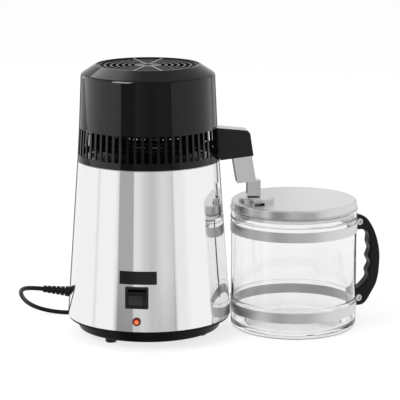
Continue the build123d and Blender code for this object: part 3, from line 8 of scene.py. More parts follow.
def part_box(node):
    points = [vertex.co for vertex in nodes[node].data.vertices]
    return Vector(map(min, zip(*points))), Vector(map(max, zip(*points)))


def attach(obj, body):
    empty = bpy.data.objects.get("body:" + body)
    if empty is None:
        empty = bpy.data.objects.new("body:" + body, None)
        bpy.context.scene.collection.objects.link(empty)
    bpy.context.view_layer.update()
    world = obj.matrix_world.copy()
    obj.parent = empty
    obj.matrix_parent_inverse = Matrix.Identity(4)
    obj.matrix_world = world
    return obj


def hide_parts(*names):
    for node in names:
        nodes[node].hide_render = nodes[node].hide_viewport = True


# A countertop water distiller: mirror polished boiler, black fan head, and a glass jug under the spout.
# Everything is in metres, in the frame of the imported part.

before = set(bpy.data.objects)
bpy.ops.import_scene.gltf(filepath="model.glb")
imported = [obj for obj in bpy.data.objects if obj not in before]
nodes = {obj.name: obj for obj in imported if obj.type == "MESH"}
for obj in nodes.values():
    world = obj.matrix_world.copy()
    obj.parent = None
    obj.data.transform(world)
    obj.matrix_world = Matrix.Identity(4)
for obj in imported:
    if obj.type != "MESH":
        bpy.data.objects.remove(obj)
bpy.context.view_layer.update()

# Axes of the boiler and the jug, and the cone of the boiler's casing
boiler_x = -0.11411
jug_x = 0.09529
casing_foot_radius = 0.115
casing_foot_height = 0.03
casing_height = 0.219
casing_taper = 0.0157


# Helpers for colours, materials and meshes

def linear(hex_colour, alpha=1.0):
    """An sRGB hex colour as the linear values that Blender's sockets take."""
    values = []
    for start in (1, 3, 5):
        part = int(hex_colour[start:start + 2], 16) / 255
        values.append(part / 12.92 if part <= 0.04045 else ((part + 0.055) / 1.055) ** 2.4)
    return (*values, alpha)


def add_node(tree, kind, settings=None, inputs=None, links=None):
    """Adds a shader node with its properties, its socket values and the sockets that feed it."""
    node = tree.nodes.new(kind)
    for name, value in (settings or {}).items():
        setattr(node, name, value)
    for name, value in (inputs or {}).items():
        node.inputs[name].default_value = value
    for name, source in (links or {}).items():
        tree.links.new(source, node.inputs[name])
    return node


def start_material(name, colour, roughness, metallic=0.0, **sockets):
    """A new material with its Principled shader set to plain values."""
    material = bpy.data.materials.new(name)
    material.use_nodes = True
    tree = material.node_tree
    shader = tree.nodes["Principled BSDF"]
    shader.inputs["Base Color"].default_value = linear(colour)
    shader.inputs["Roughness"].default_value = roughness
    shader.inputs["Metallic"].default_value = metallic
    for socket, value in sockets.items():
        shader.inputs[socket.replace("_", " ")].default_value = value
    return material, tree, shader


def surface_point(tree, centre=(0, 0, 0), stretch=(1, 1, 1)):
    """Object coordinates, centred on a piece and stretched along its grain."""
    place = add_node(tree, "ShaderNodeTexCoord")
    moved = [-c * s for c, s in zip(centre, stretch)]
    return add_node(
        tree, "ShaderNodeMapping", inputs={"Location": moved, "Scale": stretch},
        links={"Vector": place.outputs["Object"]},
    ).outputs["Vector"]


def grain(tree, shader, point, size_mm, height_mm, detail=3.0, strength=1.0):
    """Fine surface relief from noise of a real size; gives back the noise."""
    noise = add_node(
        tree, "ShaderNodeTexNoise", inputs={"Scale": 1000 / size_mm, "Detail": detail, "Roughness": 0.55},
        links={"Vector": point},
    )
    bump = add_node(
        tree, "ShaderNodeBump", inputs={"Strength": strength, "Distance": height_mm / 1000},
        links={"Height": noise.outputs["Fac"]},
    )
    tree.links.new(bump.outputs["Normal"], shader.inputs["Normal"])
    return noise.outputs["Fac"]


def spread(tree, source, low, high, from_low=0.3, from_high=0.7):
    """A pattern's value brought to a range."""
    return add_node(
        tree, "ShaderNodeMapRange",
        inputs={"From Min": from_low, "From Max": from_high, "To Min": low, "To Max": high},
        links={"Value": source},
    ).outputs["Result"]


def blend_colours(tree, source, first, second):
    """Two colours mixed by a pattern's value."""
    mix = add_node(tree, "ShaderNodeMix", settings={"data_type": "RGBA"})
    mix.inputs[6].default_value = linear(first)
    mix.inputs[7].default_value = linear(second)
    tree.links.new(source, mix.inputs[0])
    return mix.outputs[2]


def object_height(tree):
    """The height of a surface point in the part's frame."""
    place = add_node(tree, "ShaderNodeTexCoord").outputs["Object"]
    return add_node(tree, "ShaderNodeSeparateXYZ", links={"Vector": place}).outputs["Z"]


def seen_share(tree):
    """The ray's facts, and 1 for a ray that the camera sends straight or through glass."""
    rays = add_node(tree, "ShaderNodeLightPath")
    seen = add_node(
        tree, "ShaderNodeMath", settings={"operation": "MAXIMUM"},
        links={0: rays.outputs["Is Camera Ray"], 1: rays.outputs["Is Transmission Ray"]},
    )
    return rays, seen.outputs[0]


def dress(material, *names):
    """Gives carried-over CAD nodes their material."""
    for name in names:
        node = nodes[name]
        node.data.materials.clear()
        node.data.materials.append(material)


def finish_piece(name, bm, material, body):
    """Makes a mesh piece of a bmesh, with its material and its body."""
    bmesh.ops.recalc_face_normals(bm, faces=bm.faces)
    mesh = bpy.data.meshes.new(name)
    bm.to_mesh(mesh)
    bm.free()
    mesh.materials.append(material)
    piece = bpy.data.objects.new(name, mesh)
    bpy.context.scene.collection.objects.link(piece)
    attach(piece, body)
    return piece


# Camera at the photograph's place

focal_length, sensor_width = 174.7, 36.0
camera_place = (-0.5252, -2.6385, 0.7365)
camera_heading = Vector((0.1769, 0.9636, -0.2004))
farthest_seen = 60.0
camera_data = bpy.data.cameras.new("camera")
camera_data.lens = focal_length
camera_data.sensor_width = sensor_width
camera_data.clip_end = farthest_seen
camera = bpy.data.objects.new("camera", camera_data)
bpy.context.scene.collection.objects.link(camera)
camera.location = camera_place
camera.rotation_euler = camera_heading.to_track_quat("-Z", "Y").to_euler()
bpy.context.scene.camera = camera


# Mains lead: one smooth line from the strain relief through the put-away coil to the plug

lead_radius = 0.0032
lead_points = [
    (-0.25921, 0.04575, 0.05729), (-0.27795, 0.05166, 0.0587), (-0.29011, 0.0689, 0.052),
    (-0.28721, 0.0928, 0.036), (-0.27551, 0.112, 0.0195), (-0.25751, 0.1214, 0.0085),
    (-0.23641, 0.1201, 0.0032), (-0.21391, 0.1098, 0.0032), (-0.19011, 0.11, 0.0032),
    (-0.17011, 0.121, 0.0032), (-0.15411, 0.1301, 0.0042), (-0.13411, 0.1301, 0.0042),
]
tail_points = [
    (-0.11811, 0.13355, 0.0111), (-0.09811, 0.13355, 0.0111), (-0.07811, 0.136, 0.0155),
    (-0.06211, 0.1385, 0.0185), (-0.04611, 0.1405, 0.0185),
]
wound_centre = Vector((-0.12611, 0.172, 0.0042))
wound_outer = 0.0419
wound_inner = 0.0281
wound_step = 0.0069
wound_turns_in = 2.0
wound_turns_up = 0.5
wound_turns_out = 1.5
points_per_turn = 12


def wound_point(turns):
    """A control point of the coil: in, up one cord's height, and out on top."""
    climb = min(max(turns - wound_turns_in, 0.0), wound_turns_up) / wound_turns_up
    if turns < wound_turns_in:
        radius = wound_outer - wound_step * turns
    elif turns < wound_turns_in + wound_turns_up:
        radius = wound_inner - wound_step / (2 * pi) * sin(pi * climb)
    else:
        radius = wound_inner + wound_step * (turns - wound_turns_in - wound_turns_up)
    swell = radius / cos(pi / points_per_turn)
    turn = 2 * pi * turns - pi / 2
    height = wound_step * (1 - cos(pi * climb)) / 2
    return wound_centre + Vector((swell * cos(turn), swell * sin(turn), height))


wound_count = round((wound_turns_in + wound_turns_up + wound_turns_out) * points_per_turn)
coil_points = [wound_point(index / points_per_turn) for index in range(wound_count + 1)]
cord_points = [Vector(p) for p in lead_points] + coil_points + [Vector(p) for p in tail_points]
cord_curve = bpy.data.curves.new("lead_cord", "CURVE")
cord_curve.dimensions = "3D"
cord_curve.bevel_depth = 1.0
cord_curve.bevel_resolution = 5
cord_curve.use_fill_caps = True
cord_curve.resolution_u = 8
cord_line = cord_curve.splines.new("NURBS")
cord_line.points.add(len(cord_points) - 1)
for control, place in zip(cord_line.points, cord_points):
    control.co = (*place, 1.0)
    control.radius = lead_radius
cord_line.order_u = 3
cord_line.use_endpoint_u = True
lead_cord = bpy.data.objects.new("lead_cord", cord_curve)
bpy.context.scene.collection.objects.link(lead_cord)
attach(lead_cord, "base")
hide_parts("mains_lead", "lead_coil", "lead_tail")


# Mirror polished stainless steel: near white reflections, with faint upright polishing lines. The sheet is
# a true cone, so its shading takes the cone's own normal wherever a facet lies close to it.
cone_slope = casing_taper / casing_height
mirror_steel, tree, shader = start_material("mirror_polished_stainless", "#F0F0F0", 0.02, metallic=1.0)
point = surface_point(tree, (boiler_x, 0, 0))
outward = add_node(
    tree, "ShaderNodeVectorMath", settings={"operation": "MULTIPLY"}, inputs={1: (1, 1, 0)},
    links={0: point},
)
outward = add_node(
    tree, "ShaderNodeVectorMath", settings={"operation": "NORMALIZE"}, links={0: outward.outputs[0]},
)
outward = add_node(
    tree, "ShaderNodeVectorMath", settings={"operation": "ADD"}, inputs={1: (0, 0, cone_slope)},
    links={0: outward.outputs[0]},
)
cone_normal = add_node(
    tree, "ShaderNodeVectorMath", settings={"operation": "NORMALIZE"}, links={0: outward.outputs[0]},
)
facet = add_node(tree, "ShaderNodeNewGeometry")
closeness = add_node(
    tree, "ShaderNodeVectorMath", settings={"operation": "DOT_PRODUCT"},
    links={0: facet.outputs["True Normal"], 1: cone_normal.outputs[0]},
)
loose_match, close_match = 0.96, 0.98
on_cone = spread(tree, closeness.outputs["Value"], 0.0, 1.0, loose_match, close_match)
sheet_normal = add_node(
    tree, "ShaderNodeMix", settings={"data_type": "VECTOR"},
    links={0: on_cone, 4: facet.outputs["Normal"], 5: cone_normal.outputs[0]},
)
upright_point = surface_point(tree, (boiler_x, 0, 0), (1, 1, 0.02))
polish = grain(tree, shader, upright_point, size_mm=6.0, height_mm=0.001, strength=0.1)
bump = shader.inputs["Normal"].links[0].from_node
tree.links.new(sheet_normal.outputs[1], bump.inputs["Normal"])
tree.links.new(spread(tree, polish, 0.015, 0.04), shader.inputs["Roughness"])
dress(mirror_steel, "outer_casing")

# Brushed stainless sheet: pale, with long fine lines along X on the lid
brushed_lid, tree, shader = start_material("brushed_stainless_lid", "#D4D4D3", 0.28, metallic=1.0)
point = surface_point(tree, (jug_x, 0, 0), (0.02, 1, 1))
lines = grain(tree, shader, point, size_mm=0.8, height_mm=0.001, detail=2.0, strength=0.03)
tree.links.new(spread(tree, lines, 0.27, 0.3), shader.inputs["Roughness"])
tree.links.new(blend_colours(tree, lines, "#D0D0CF", "#D8D8D7"), shader.inputs["Base Color"])
dress(brushed_lid, "jug_lid")

# Brushed stainless strip: level lines round the jug
brushed_strip, tree, shader = start_material("brushed_stainless_strip", "#D8D8D7", 0.42, metallic=1.0)
point = surface_point(tree, (jug_x, 0, 0), (0.03, 0.03, 1))
lines = grain(tree, shader, point, size_mm=1.0, height_mm=0.003, detail=4.0, strength=0.15)
tree.links.new(spread(tree, lines, 0.38, 0.48), shader.inputs["Roughness"])
dress(brushed_strip, "upper_band", "lower_band")

# Polished pressings: clear reflections and faint rubbing marks, brightest on the chute, greyer on the tip
# and darker and duller on the cap
pressings = (
    ("polished_stainless_chute", "#F4F4F3", 0.08, ("spout_chute",)),
    ("polished_stainless_tip", "#E6E6E5", 0.06, ("nozzle_tip",)),
    ("polished_stainless_cap", "#CDCDCC", 0.14, ("filler_cap",)),
)
for name, colour, roughness, dressed in pressings:
    pressing, tree, shader = start_material(name, colour, roughness, metallic=1.0)
    point = surface_point(tree, stretch=(1, 1, 0.2))
    rubbing = grain(tree, shader, point, size_mm=5.0, height_mm=0.002, strength=0.15)
    tree.links.new(spread(tree, rubbing, 0.8 * roughness, 1.4 * roughness), shader.inputs["Roughness"])
    dress(pressing, *dressed)

# Drawn stainless steel inside the boiler and the head: satin, with a soft cloud of heat marks
satin_steel, tree, shader = start_material("satin_stainless", "#B9B9B6", 0.34, metallic=1.0)
clouds = grain(tree, shader, surface_point(tree), size_mm=14.0, height_mm=0.01, strength=0.3)
tree.links.new(blend_colours(tree, clouds, "#B2B1AC", "#C3C3C1"), shader.inputs["Base Color"])
dress(satin_steel, "boiling_pot", "fan_bracket")

# Stainless steel painted dark as shade behind the vent slots: the coil and its plate, in a mottled tone
shade_dark_steel, tree, shader = start_material("stainless_painted_dark_as_shade", "#242322", 0.45, metallic=1.0)
stain = grain(tree, shader, surface_point(tree), size_mm=9.0, height_mm=0.02, strength=0.4)
tree.links.new(blend_colours(tree, stain, "#1A1918", "#2E2C2A"), shader.inputs["Base Color"])
dress(shade_dark_steel, "condenser_coil", "steam_plate", "outlet_tube")

# Zinc plated screws: bright, slightly dull in the plating's grain
zinc_plate, tree, shader = start_material("bright_zinc_plate", "#C6C8CA", 0.22, metallic=1.0)
speckle = grain(tree, shader, surface_point(tree), size_mm=1.2, height_mm=0.01, strength=0.4)
tree.links.new(spread(tree, speckle, 0.16, 0.34), shader.inputs["Roughness"])
dress(
    zinc_plate, "foot_screws", "standoffs", "rocker_pin", "head_screws", "bracket_screws", "motor_shaft",
    "handle_screws", "handle_nuts",
)

# Cast aluminium heater plate: a dull grain
cast_aluminium, tree, shader = start_material("cast_aluminium", "#B4B6B8", 0.45, metallic=1.0)
grain(tree, shader, surface_point(tree), size_mm=2.0, height_mm=0.06, strength=0.6)
dress(cast_aluminium, "heater_plate")

# Heat darkened steel rod
burnt_steel, tree, shader = start_material("heat_darkened_steel", "#6E6761", 0.5, metallic=0.9)
stain = grain(tree, shader, surface_point(tree), size_mm=8.0, height_mm=0.03, strength=0.5)
tree.links.new(blend_colours(tree, stain, "#544C47", "#8A8079"), shader.inputs["Base Color"])
dress(burnt_steel, "heater_element")

# Steatite ceramic of the thermal cut-out
steatite, tree, shader = start_material("steatite_ceramic", "#CFC7B6", 0.6)
grain(tree, shader, surface_point(tree), size_mm=0.8, height_mm=0.04, strength=0.5)
dress(steatite, "thermal_cutout")

# Gloss black ABS: deep black, clear reflections with a slight orange peel
gloss_abs, tree, shader = start_material(
    "gloss_black_abs", "#040404", 0.05, IOR=1.46, Specular_IOR_Level=0.18,
)
peel = grain(tree, shader, surface_point(tree), size_mm=12.0, height_mm=0.006, detail=1.0, strength=0.2)
tree.links.new(spread(tree, peel, 0.03, 0.07), shader.inputs["Roughness"])
dress(gloss_abs, "head_dome", "vent_collar")

# Satin black ABS: fine spark grain
satin_abs, tree, shader = start_material(
    "satin_black_abs", "#101011", 0.36, IOR=1.45, Specular_IOR_Level=0.4,
)
spark = grain(tree, shader, surface_point(tree), size_mm=0.7, height_mm=0.02, strength=0.4)
tree.links.new(spread(tree, spark, 0.3, 0.46), shader.inputs["Roughness"])
dress(satin_abs, "switch_frame", "spout_arm", "fan_blades", "reset_nut", "coil_tie")

# Tray: the same ABS, smoother from its mould and deeper black
tray_abs, tree, shader = start_material(
    "smooth_black_abs", "#050505", 0.28, IOR=1.45, Specular_IOR_Level=0.16,
)
spark = grain(tree, shader, surface_point(tree), size_mm=0.9, height_mm=0.01, strength=0.3)
tree.links.new(spread(tree, spark, 0.24, 0.34), shader.inputs["Roughness"])
dress(tray_abs, "base_tray")

# Grille: satin black ABS, smoother along its raised ribs, which carry a painted light grey highlight
grille_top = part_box("fan_grille")[1][2]
rib_height = 0.0009
rib_highlight_start, rib_highlight_end = grille_top - 0.7 * rib_height, grille_top - 0.3 * rib_height
grille_abs, tree, shader = start_material(
    "black_abs_painted_rib_highlight", "#101011", 0.3, IOR=1.45, Specular_IOR_Level=0.42,
)
grain(tree, shader, surface_point(tree), size_mm=0.7, height_mm=0.02, strength=0.4)
rib_polish_and_highlight = spread(tree, object_height(tree), 0.0, 1.0, rib_highlight_start, rib_highlight_end)
tree.links.new(spread(tree, rib_polish_and_highlight, 0.32, 0.16, 0.0, 1.0), shader.inputs["Roughness"])
# The ribs' light grey is a painted highlight; their lower roughness is a smoother finish
tree.links.new(blend_colours(tree, rib_polish_and_highlight, "#101011", "#7A7A7B"), shader.inputs["Base Color"])
dress(grille_abs, "fan_grille")

# Rocker: smooth black polycarbonate, with a frosted pad on its lower face
rocker_plastic, tree, shader = start_material(
    "smooth_black_polycarbonate", "#0C0C0D", 0.2, IOR=1.5, Specular_IOR_Level=0.35,
)
controls_azimuth = radians(-107.5)
controls_out = Vector((cos(controls_azimuth), sin(controls_azimuth), 0))
controls_along = Vector((-sin(controls_azimuth), cos(controls_azimuth), 0))
rocker_low, rocker_high = [Vector(corner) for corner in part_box("switch_rocker")]
rocker_middle = (rocker_low + rocker_high) / 2
pad_half_width = 0.0098
pad_shift = 0.0015
pad_top, pad_bottom = rocker_middle.z + 0.0043, rocker_low.z + 0.0014
pad_edge = 0.0002
beside = add_node(
    tree, "ShaderNodeVectorMath", settings={"operation": "SUBTRACT"}, inputs={1: rocker_middle},
    links={0: add_node(tree, "ShaderNodeTexCoord").outputs["Object"]},
)
along = add_node(
    tree, "ShaderNodeVectorMath", settings={"operation": "DOT_PRODUCT"}, inputs={1: controls_along},
    links={0: beside.outputs[0]},
)
along = add_node(
    tree, "ShaderNodeMath", settings={"operation": "ADD"}, inputs={1: pad_shift},
    links={0: along.outputs["Value"]},
)
along = add_node(tree, "ShaderNodeMath", settings={"operation": "ABSOLUTE"}, links={0: along.outputs[0]})
on_pad = spread(tree, along.outputs[0], 1.0, 0.0, pad_half_width - pad_edge, pad_half_width)
for edge, inside in ((pad_top, -pad_edge), (pad_bottom, pad_edge)):
    within = spread(tree, object_height(tree), 0.0, 1.0, edge, edge + inside)
    on_pad = add_node(
        tree, "ShaderNodeMath", settings={"operation": "MULTIPLY"}, links={0: on_pad, 1: within},
    ).outputs[0]
tree.links.new(blend_colours(tree, on_pad, "#0A0A0B", "#242425"), shader.inputs["Base Color"])
tree.links.new(spread(tree, on_pad, 0.2, 0.5, 0.0, 1.0), shader.inputs["Roughness"])
dress(rocker_plastic, "switch_rocker")

# Handle: black nylon, smooth from the mould, with soft glints on its grips
nylon, tree, shader = start_material("black_nylon", "#060606", 0.2, IOR=1.5, Specular_IOR_Level=0.2)
bloom = grain(tree, shader, surface_point(tree), size_mm=1.4, height_mm=0.01, strength=0.25)
tree.links.new(spread(tree, bloom, 0.15, 0.26), shader.inputs["Roughness"])
dress(nylon, "jug_handle")

# Soft PVC of the mains lead, its relief and its plug
soft_pvc, tree, shader = start_material("soft_black_pvc", "#050505", 0.28, IOR=1.5, Specular_IOR_Level=0.28)
sheath = grain(tree, shader, surface_point(tree), size_mm=1.5, height_mm=0.02, strength=0.35)
tree.links.new(spread(tree, sheath, 0.24, 0.38), shader.inputs["Roughness"])
cord_curve.materials.append(soft_pvc)
dress(soft_pvc, "lead_relief", "mains_plug")

# Black rubber feet
foot_rubber, tree, shader = start_material("black_rubber", "#121212", 0.7)
grain(tree, shader, surface_point(tree), size_mm=0.8, height_mm=0.05, strength=0.6)
dress(foot_rubber, "rubber_feet")

# Clear silicone seals: see-through, with a soft sheen
silicone, tree, shader = start_material(
    "clear_silicone", "#E9E9E8", 0.22, IOR=1.41, Transmission_Weight=0.85,
)
grain(tree, shader, surface_point(tree), size_mm=2.0, height_mm=0.01, strength=0.2)
dress(silicone, "seal_ring", "lid_gasket")

# Painted steel can of the fan motor
painted_can, tree, shader = start_material("black_painted_steel", "#232325", 0.4)
grain(tree, shader, surface_point(tree), size_mm=0.6, height_mm=0.03, strength=0.6)
dress(painted_can, "fan_motor")

# Nickel plated brass pins
nickel, tree, shader = start_material("nickel_plated_brass", "#CFC9BC", 0.2, metallic=1.0)
grain(tree, shader, surface_point(tree), size_mm=2.0, height_mm=0.01, strength=0.3)
dress(nickel, "plug_pins")

# Deep red bezel, and a red button with a painted orange glow in its middle, which has no lamp, and painted
# glints on its facets
red_acrylic, tree, shader = start_material("deep_red_acrylic", "#4E0D06", 0.15, IOR=1.49)
grain(tree, shader, surface_point(tree), size_mm=2.0, height_mm=0.01, strength=0.2)
dress(red_acrylic, "reset_module")
glow_painted_acrylic, tree, shader = start_material("red_acrylic_painted_glow", "#C8361A", 0.12, IOR=1.49)
button_low, button_high = [Vector(corner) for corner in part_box("reset_button")]
facet_size_mm = 1.6
glow_inner, glow_outer = 0.0016, 0.0036
point = surface_point(tree)
facets = add_node(
    tree, "ShaderNodeTexVoronoi", inputs={"Scale": 1000 / facet_size_mm}, links={"Vector": point},
)
beside = add_node(
    tree, "ShaderNodeVectorMath", settings={"operation": "SUBTRACT"},
    inputs={1: (button_low + button_high) / 2}, links={0: point},
)
across = add_node(
    tree, "ShaderNodeVectorMath", settings={"operation": "CROSS_PRODUCT"}, inputs={1: controls_out},
    links={0: beside.outputs[0]},
)
from_axis = add_node(
    tree, "ShaderNodeVectorMath", settings={"operation": "LENGTH"}, links={0: across.outputs[0]},
)
# Painted glow: the middle's brighter orange colour and its emission, with no lamp behind it
glow = spread(tree, from_axis.outputs["Value"], 1.0, 0.0, glow_inner, glow_outer)
tree.links.new(blend_colours(tree, glow, "#7A1A0C", "#FF6A38"), shader.inputs["Base Color"])
# Painted glints: emission that flares on the facet pattern
painted_glints = spread(tree, facets.outputs["Distance"], 1.2, 0.25, 0.1, 0.6)
painted_glow_and_glints = add_node(
    tree, "ShaderNodeMath", settings={"operation": "MULTIPLY"}, links={0: glow, 1: painted_glints},
)
shader.inputs["Emission Color"].default_value = linear("#FF7A48")
tree.links.new(painted_glow_and_glints.outputs[0], shader.inputs["Emission Strength"])
dress(glow_painted_acrylic, "reset_button")

# Clear soda glass of the jug, with faint waves from blowing
soda_glass, tree, shader = start_material(
    "clear_soda_glass", "#F7F7F7", 0.0, IOR=1.47, Transmission_Weight=1.0,
)
point = surface_point(tree, stretch=(1, 1, 0.4))
grain(tree, shader, point, size_mm=30.0, height_mm=0.03, detail=1.0, strength=0.15)
dress(soda_glass, "glass_jug")


# Bare plate on the casing, above the switch: a thin black sheet wrapped round the cone

def casing_radius(height):
    """The casing's radius at a height."""
    return casing_foot_radius - casing_taper * (height - casing_foot_height) / casing_height


plate_low, plate_high = 0.0954, 0.1134
plate_start, plate_end = radians(-120.3), radians(-93.3)
plate_thickness = 0.0006
plate_gap = 0.00005
plate_edge = 0.0002
plate_facets = 18
bm = bmesh.new()
ends = []
for height in (plate_low, plate_high):
    radius = casing_radius(height) + plate_gap
    place = (boiler_x + radius * cos(plate_start), radius * sin(plate_start), height)
    ends.append(bm.verts.new(place))
edge = bm.edges.new(ends)
bmesh.ops.spin(
    bm, geom=[*ends, edge], cent=(boiler_x, 0, 0), axis=(0, 0, 1), angle=plate_end - plate_start,
    steps=plate_facets,
)
sheet = bm.faces[:]
for vertex in bm.verts:
    vertex.normal_update()
bmesh.ops.recalc_face_normals(bm, faces=sheet)
outward = sheet[0].calc_center_median() - Vector((boiler_x, 0, plate_low))
if sheet[0].normal.dot(outward) < 0:
    bmesh.ops.reverse_faces(bm, faces=sheet)
bmesh.ops.solidify(bm, geom=sheet, thickness=-plate_thickness)
plate_coat, tree, shader = start_material(
    "black_anodised_plate", "#0C0C0D", 0.25, IOR=1.5, Specular_IOR_Level=0.35,
)
grain(tree, shader, surface_point(tree), size_mm=0.8, height_mm=0.01, strength=0.4)
plate = finish_piece("bare_plate", bm, plate_coat, "base")
plate_bevel = plate.modifiers.new("edges", "BEVEL")
plate_bevel.width = plate_edge
plate_bevel.segments = 2
plate_bevel.limit_method = "ANGLE"


# Fins wound round the condenser's tube: thin steel rings, with each turn's fins between its neighbour's

coil_radius, coil_low, coil_pitch = 0.076, 0.27, 0.0105
coil_turns, coil_end = 5, radians(-34)
fin_outer, fin_inner, fin_thickness = 0.0063, 0.0041, 0.0004
fin_sides = 12
fins_per_turn = 119.5
first_fin = 6
bm = bmesh.new()
bmesh.ops.create_circle(bm, cap_ends=True, segments=fin_sides, radius=fin_outer)
rim = bmesh.ops.inset_region(
    bm, faces=bm.faces[:], thickness=fin_outer - fin_inner, use_boundary=True, use_even_offset=True,
)
bmesh.ops.delete(bm, geom=[face for face in bm.faces if face not in rim["faces"]], context="FACES")
wall = bmesh.ops.extrude_face_region(bm, geom=bm.faces[:])
walls = [item for item in wall["geom"] if isinstance(item, bmesh.types.BMVert)]
bmesh.ops.translate(bm, verts=walls, vec=(0, 0, fin_thickness))
start_azimuth = coil_end - 2 * pi * first_fin / fins_per_turn
start_place = Vector((
    boiler_x + coil_radius * cos(start_azimuth), coil_radius * sin(start_azimuth),
    coil_low + coil_pitch * first_fin / fins_per_turn,
))
heading = Vector((-sin(start_azimuth), cos(start_azimuth), -coil_pitch / (2 * pi * coil_radius)))
turned = heading.to_track_quat("Z", "X").to_matrix().to_4x4()
bmesh.ops.transform(bm, matrix=Matrix.Translation(start_place) @ turned, verts=bm.verts[:])
fin_steps = int(coil_turns * fins_per_turn) - first_fin
bmesh.ops.spin(
    bm, geom=bm.verts[:] + bm.edges[:] + bm.faces[:], cent=(boiler_x, 0, 0), axis=(0, 0, 1),
    dvec=(0, 0, coil_pitch / fins_per_turn), angle=-2 * pi * fin_steps / fins_per_turn, steps=fin_steps,
    use_duplicate=True,
)
# The fins take the steel painted dark as shade
finish_piece("coil_fins", bm, shade_dark_steel, "head")


# White studio: a pale floor, and a world whose reflections carry the studio's upright flags

floor_half_width = 8.0
floor_glow = 0.76
bm = bmesh.new()
bmesh.ops.create_grid(bm, x_segments=1, y_segments=1, size=floor_half_width)
floor_mesh = bpy.data.meshes.new("studio_floor")
bm.to_mesh(floor_mesh)
bm.free()
floor_paint = bpy.data.materials.new("white_floor_paint")
floor_paint.use_nodes = True
tree = floor_paint.node_tree
shader = tree.nodes["Principled BSDF"]
shader.inputs["Roughness"].default_value = 0.9
shader.inputs["Specular IOR Level"].default_value = 0.0
shader.inputs["Emission Color"].default_value = linear("#FFFFFF")
rays, seen = seen_share(tree)
tree.links.new(spread(tree, seen, 0.0, floor_glow, 0.0, 1.0), shader.inputs["Emission Strength"])
tree.links.new(blend_colours(tree, seen, "#F4F4F4", "#949494"), shader.inputs["Base Color"])
floor_mesh.materials.append(floor_paint)
floor = bpy.data.objects.new("studio_floor", floor_mesh)
bpy.context.scene.collection.objects.link(floor)
floor.visible_glossy = False

# The studio that polished surfaces show: white all round, with upright flags. Each flag has its place in
# degrees round from the camera, its half width, the softness of its edges and the light that it leaves.
facing = -98.9
side_wall = (-6, 44, 4, 0.82)
door = (1.6, 11.7, 7.7, 0.79)
stand = (-34.5, 11.8, 1.2, 0.53)
post = (-84, 2.5, 2.5, 0.85)
curtain = (20.4, 20, 1.6, 0.91)
curtain_seam = (37.2, 0.9, 0.7, 0.78)
far_wall = (44.4, 13.4, 6, 0.91)
upright_flags = (side_wall, door, stand, post, curtain, curtain_seam, far_wall)
left_table = (-31, 19, 3, 0.5)
right_table = (26, 14, 4, 0.6)
back_edge = (180, 22, 3, 0.2)
back_wall = (180, 40, 10, 0.84)
table_low, table_high = -0.16, -0.1
horizon_low, horizon_high = -0.06, -0.02

world = bpy.data.worlds.new("white_studio")
world.use_nodes = True
world.cycles.sampling_method = "NONE"
bpy.context.scene.world = world
tree = world.node_tree
direction = add_node(tree, "ShaderNodeTexCoord").outputs["Generated"]
from_camera = add_node(
    tree, "ShaderNodeVectorRotate", settings={"rotation_type": "Z_AXIS"},
    inputs={"Angle": radians(-facing)}, links={"Vector": direction},
)
toward = add_node(tree, "ShaderNodeSeparateXYZ", links={"Vector": from_camera.outputs[0]})
azimuth = add_node(
    tree, "ShaderNodeMath", settings={"operation": "ARCTAN2"},
    links={0: toward.outputs["Y"], 1: toward.outputs["X"]},
)


def flag_light(flag):
    """The light that a flag leaves at each direction round."""
    centre, half_width, softness, share = flag
    beside = add_node(
        tree, "ShaderNodeMath", settings={"operation": "SUBTRACT"}, inputs={1: radians(centre)},
        links={0: azimuth.outputs[0]},
    )
    wrapped = add_node(
        tree, "ShaderNodeMath", settings={"operation": "WRAP"}, inputs={1: pi, 2: -pi},
        links={0: beside.outputs[0]},
    )
    distance = add_node(
        tree, "ShaderNodeMath", settings={"operation": "ABSOLUTE"}, links={0: wrapped.outputs[0]},
    )
    return add_node(
        tree, "ShaderNodeMapRange", settings={"interpolation_type": "SMOOTHSTEP"},
        inputs={
            "From Min": radians(half_width - softness), "From Max": radians(half_width + softness),
            "To Min": share, "To Max": 1.0,
        },
        links={"Value": distance.outputs[0]},
    ).outputs["Result"]


def only_past(light, start, end):
    """A flag's light where the direction's rise is past a range, and full light before it."""
    past = spread(tree, toward.outputs["Z"], 0.0, 1.0, start, end)
    return add_node(tree, "ShaderNodeMix", inputs={2: 1.0}, links={0: past, 3: light}).outputs[0]


studio_light = only_past(flag_light(back_edge), horizon_high, horizon_low)
partly = [only_past(flag_light(flag), table_high, table_low) for flag in (left_table, right_table)]
partly.append(only_past(flag_light(back_wall), horizon_low, horizon_high))
for light in partly + [flag_light(flag) for flag in upright_flags]:
    studio_light = add_node(
        tree, "ShaderNodeMath", settings={"operation": "MULTIPLY"}, links={0: studio_light, 1: light},
    ).outputs[0]
# Rays that have been through glass see fainter flags, which keeps the jug's thick base pale. Dull surfaces
# get one even light, lower than what is seen behind the object.
rays, seen = seen_share(tree)
lift_in_glass = 0.65
light_on_dull = 0.72
in_glass = spread(tree, rays.outputs["Transmission Depth"], 0.0, lift_in_glass, 0.0, 1.0)
studio_light = add_node(
    tree, "ShaderNodeMix", inputs={3: 1.0}, links={0: in_glass, 2: studio_light},
).outputs[0]
strength = add_node(
    tree, "ShaderNodeMix",
    links={
        0: rays.outputs["Is Glossy Ray"], 2: spread(tree, seen, light_on_dull, 1.0, 0.0, 1.0),
        3: studio_light,
    },
)
tree.nodes["Background"].inputs["Color"].default_value = linear("#FFFFFF")
tree.links.new(strength.outputs[0], tree.nodes["Background"].inputs["Strength"])


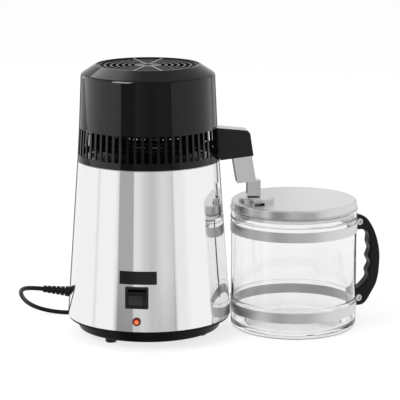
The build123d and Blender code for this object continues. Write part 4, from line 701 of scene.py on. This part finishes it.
def soft_lamp(name, place, target, size, power, in_gloss, only_on=(), fade=None):
    """A soft box that points at a target. It shows in gloss or not, may light some nodes only, and may fade
    from its full light at one height of the box to nothing at another."""
    lamp_data = bpy.data.lights.new(name, "AREA")
    lamp_data.shape = "RECTANGLE"
    lamp_data.size, lamp_data.size_y = size
    lamp_data.energy = power
    lamp = bpy.data.objects.new(name, lamp_data)
    lamp.location = place
    lamp.rotation_euler = (Vector(target) - Vector(place)).to_track_quat("-Z", "Y").to_euler()
    bpy.context.scene.collection.objects.link(lamp)
    lamp.visible_glossy = in_gloss
    if fade:
        lamp_data.use_nodes = True
        lamp_tree = lamp_data.node_tree
        on_box = add_node(lamp_tree, "ShaderNodeNewGeometry").outputs["Parametric"]
        across = add_node(lamp_tree, "ShaderNodeSeparateXYZ", links={"Vector": on_box})
        share = add_node(
            lamp_tree, "ShaderNodeMapRange", settings={"interpolation_type": "SMOOTHSTEP"},
            inputs={"From Min": fade[0], "From Max": fade[1], "To Min": 1.0, "To Max": 0.0},
            links={"Value": across.outputs["Y"]},
        )
        lamp_tree.links.new(share.outputs["Result"], lamp_tree.nodes["Emission"].inputs["Strength"])
    if only_on:
        lit = bpy.data.collections.new(name + "_lit")
        for node in only_on:
            lit.objects.link(nodes[node])
        lamp.light_linking.receiver_collection = lit


# Boxes that light everything and show in no reflection
low_middle = (0, 0, 0.15)
soft_lamp("left_box", (-1.8, -1.4, 1.8), low_middle, (1.5, 0.8), 34, False)
soft_lamp("right_box", (1.6, -1.8, 1.5), low_middle, (1.0, 1.4), 8, False)
soft_lamp("top_box", (-1.0, 0.2, 2.2), (-0.4, 0, 0.1), (1.5, 1.5), 8, False)

# Panels that only the gloss black head shows: a wide one at the left, a fainter one at the right, a box
# above its shoulder that fades towards the back, and a strip that draws the bright line on the shoulder
gloss_head = ("head_dome", "vent_collar")
head_middle = (-0.11, 0, 0.35)
soft_lamp("left_panel", (-2.1, 1.8, 0.8), (-0.11, 1.8, 0.8), (6.5, 1.6), 55, True, gloss_head)
soft_lamp("right_panel", (1.9, -1.1, 0.8), (-0.11, -1.1, 0.8), (4.8, 1.6), 22, True, gloss_head)
soft_lamp(
    "shoulder_box", (-0.55, 1.33, 2.2), head_middle, (0.7, 2.0), 10, True, ("head_dome",), (0.62, 1.0),
)
soft_lamp("shoulder_strip", (-1.98, -1.15, 1.8), head_middle, (1.4, 1.5), 180, True, ("head_dome",))

# A panel behind, which only the top of the spout's arm shows
soft_lamp("arm_panel", (0.35, 1.93, 0.75), (0.0, 0, 0.26), (2.0, 1.2), 17, True, ("spout_arm",))

# A small box low behind the jug, which only the lid's right half shows
soft_lamp("lid_box", (0.67, 1.42, 0.5), (0.1, 0, 0.19), (0.5, 0.5), 0.16, True, ("jug_lid",))

bpy.context.scene.view_settings.view_transform = "Standard"
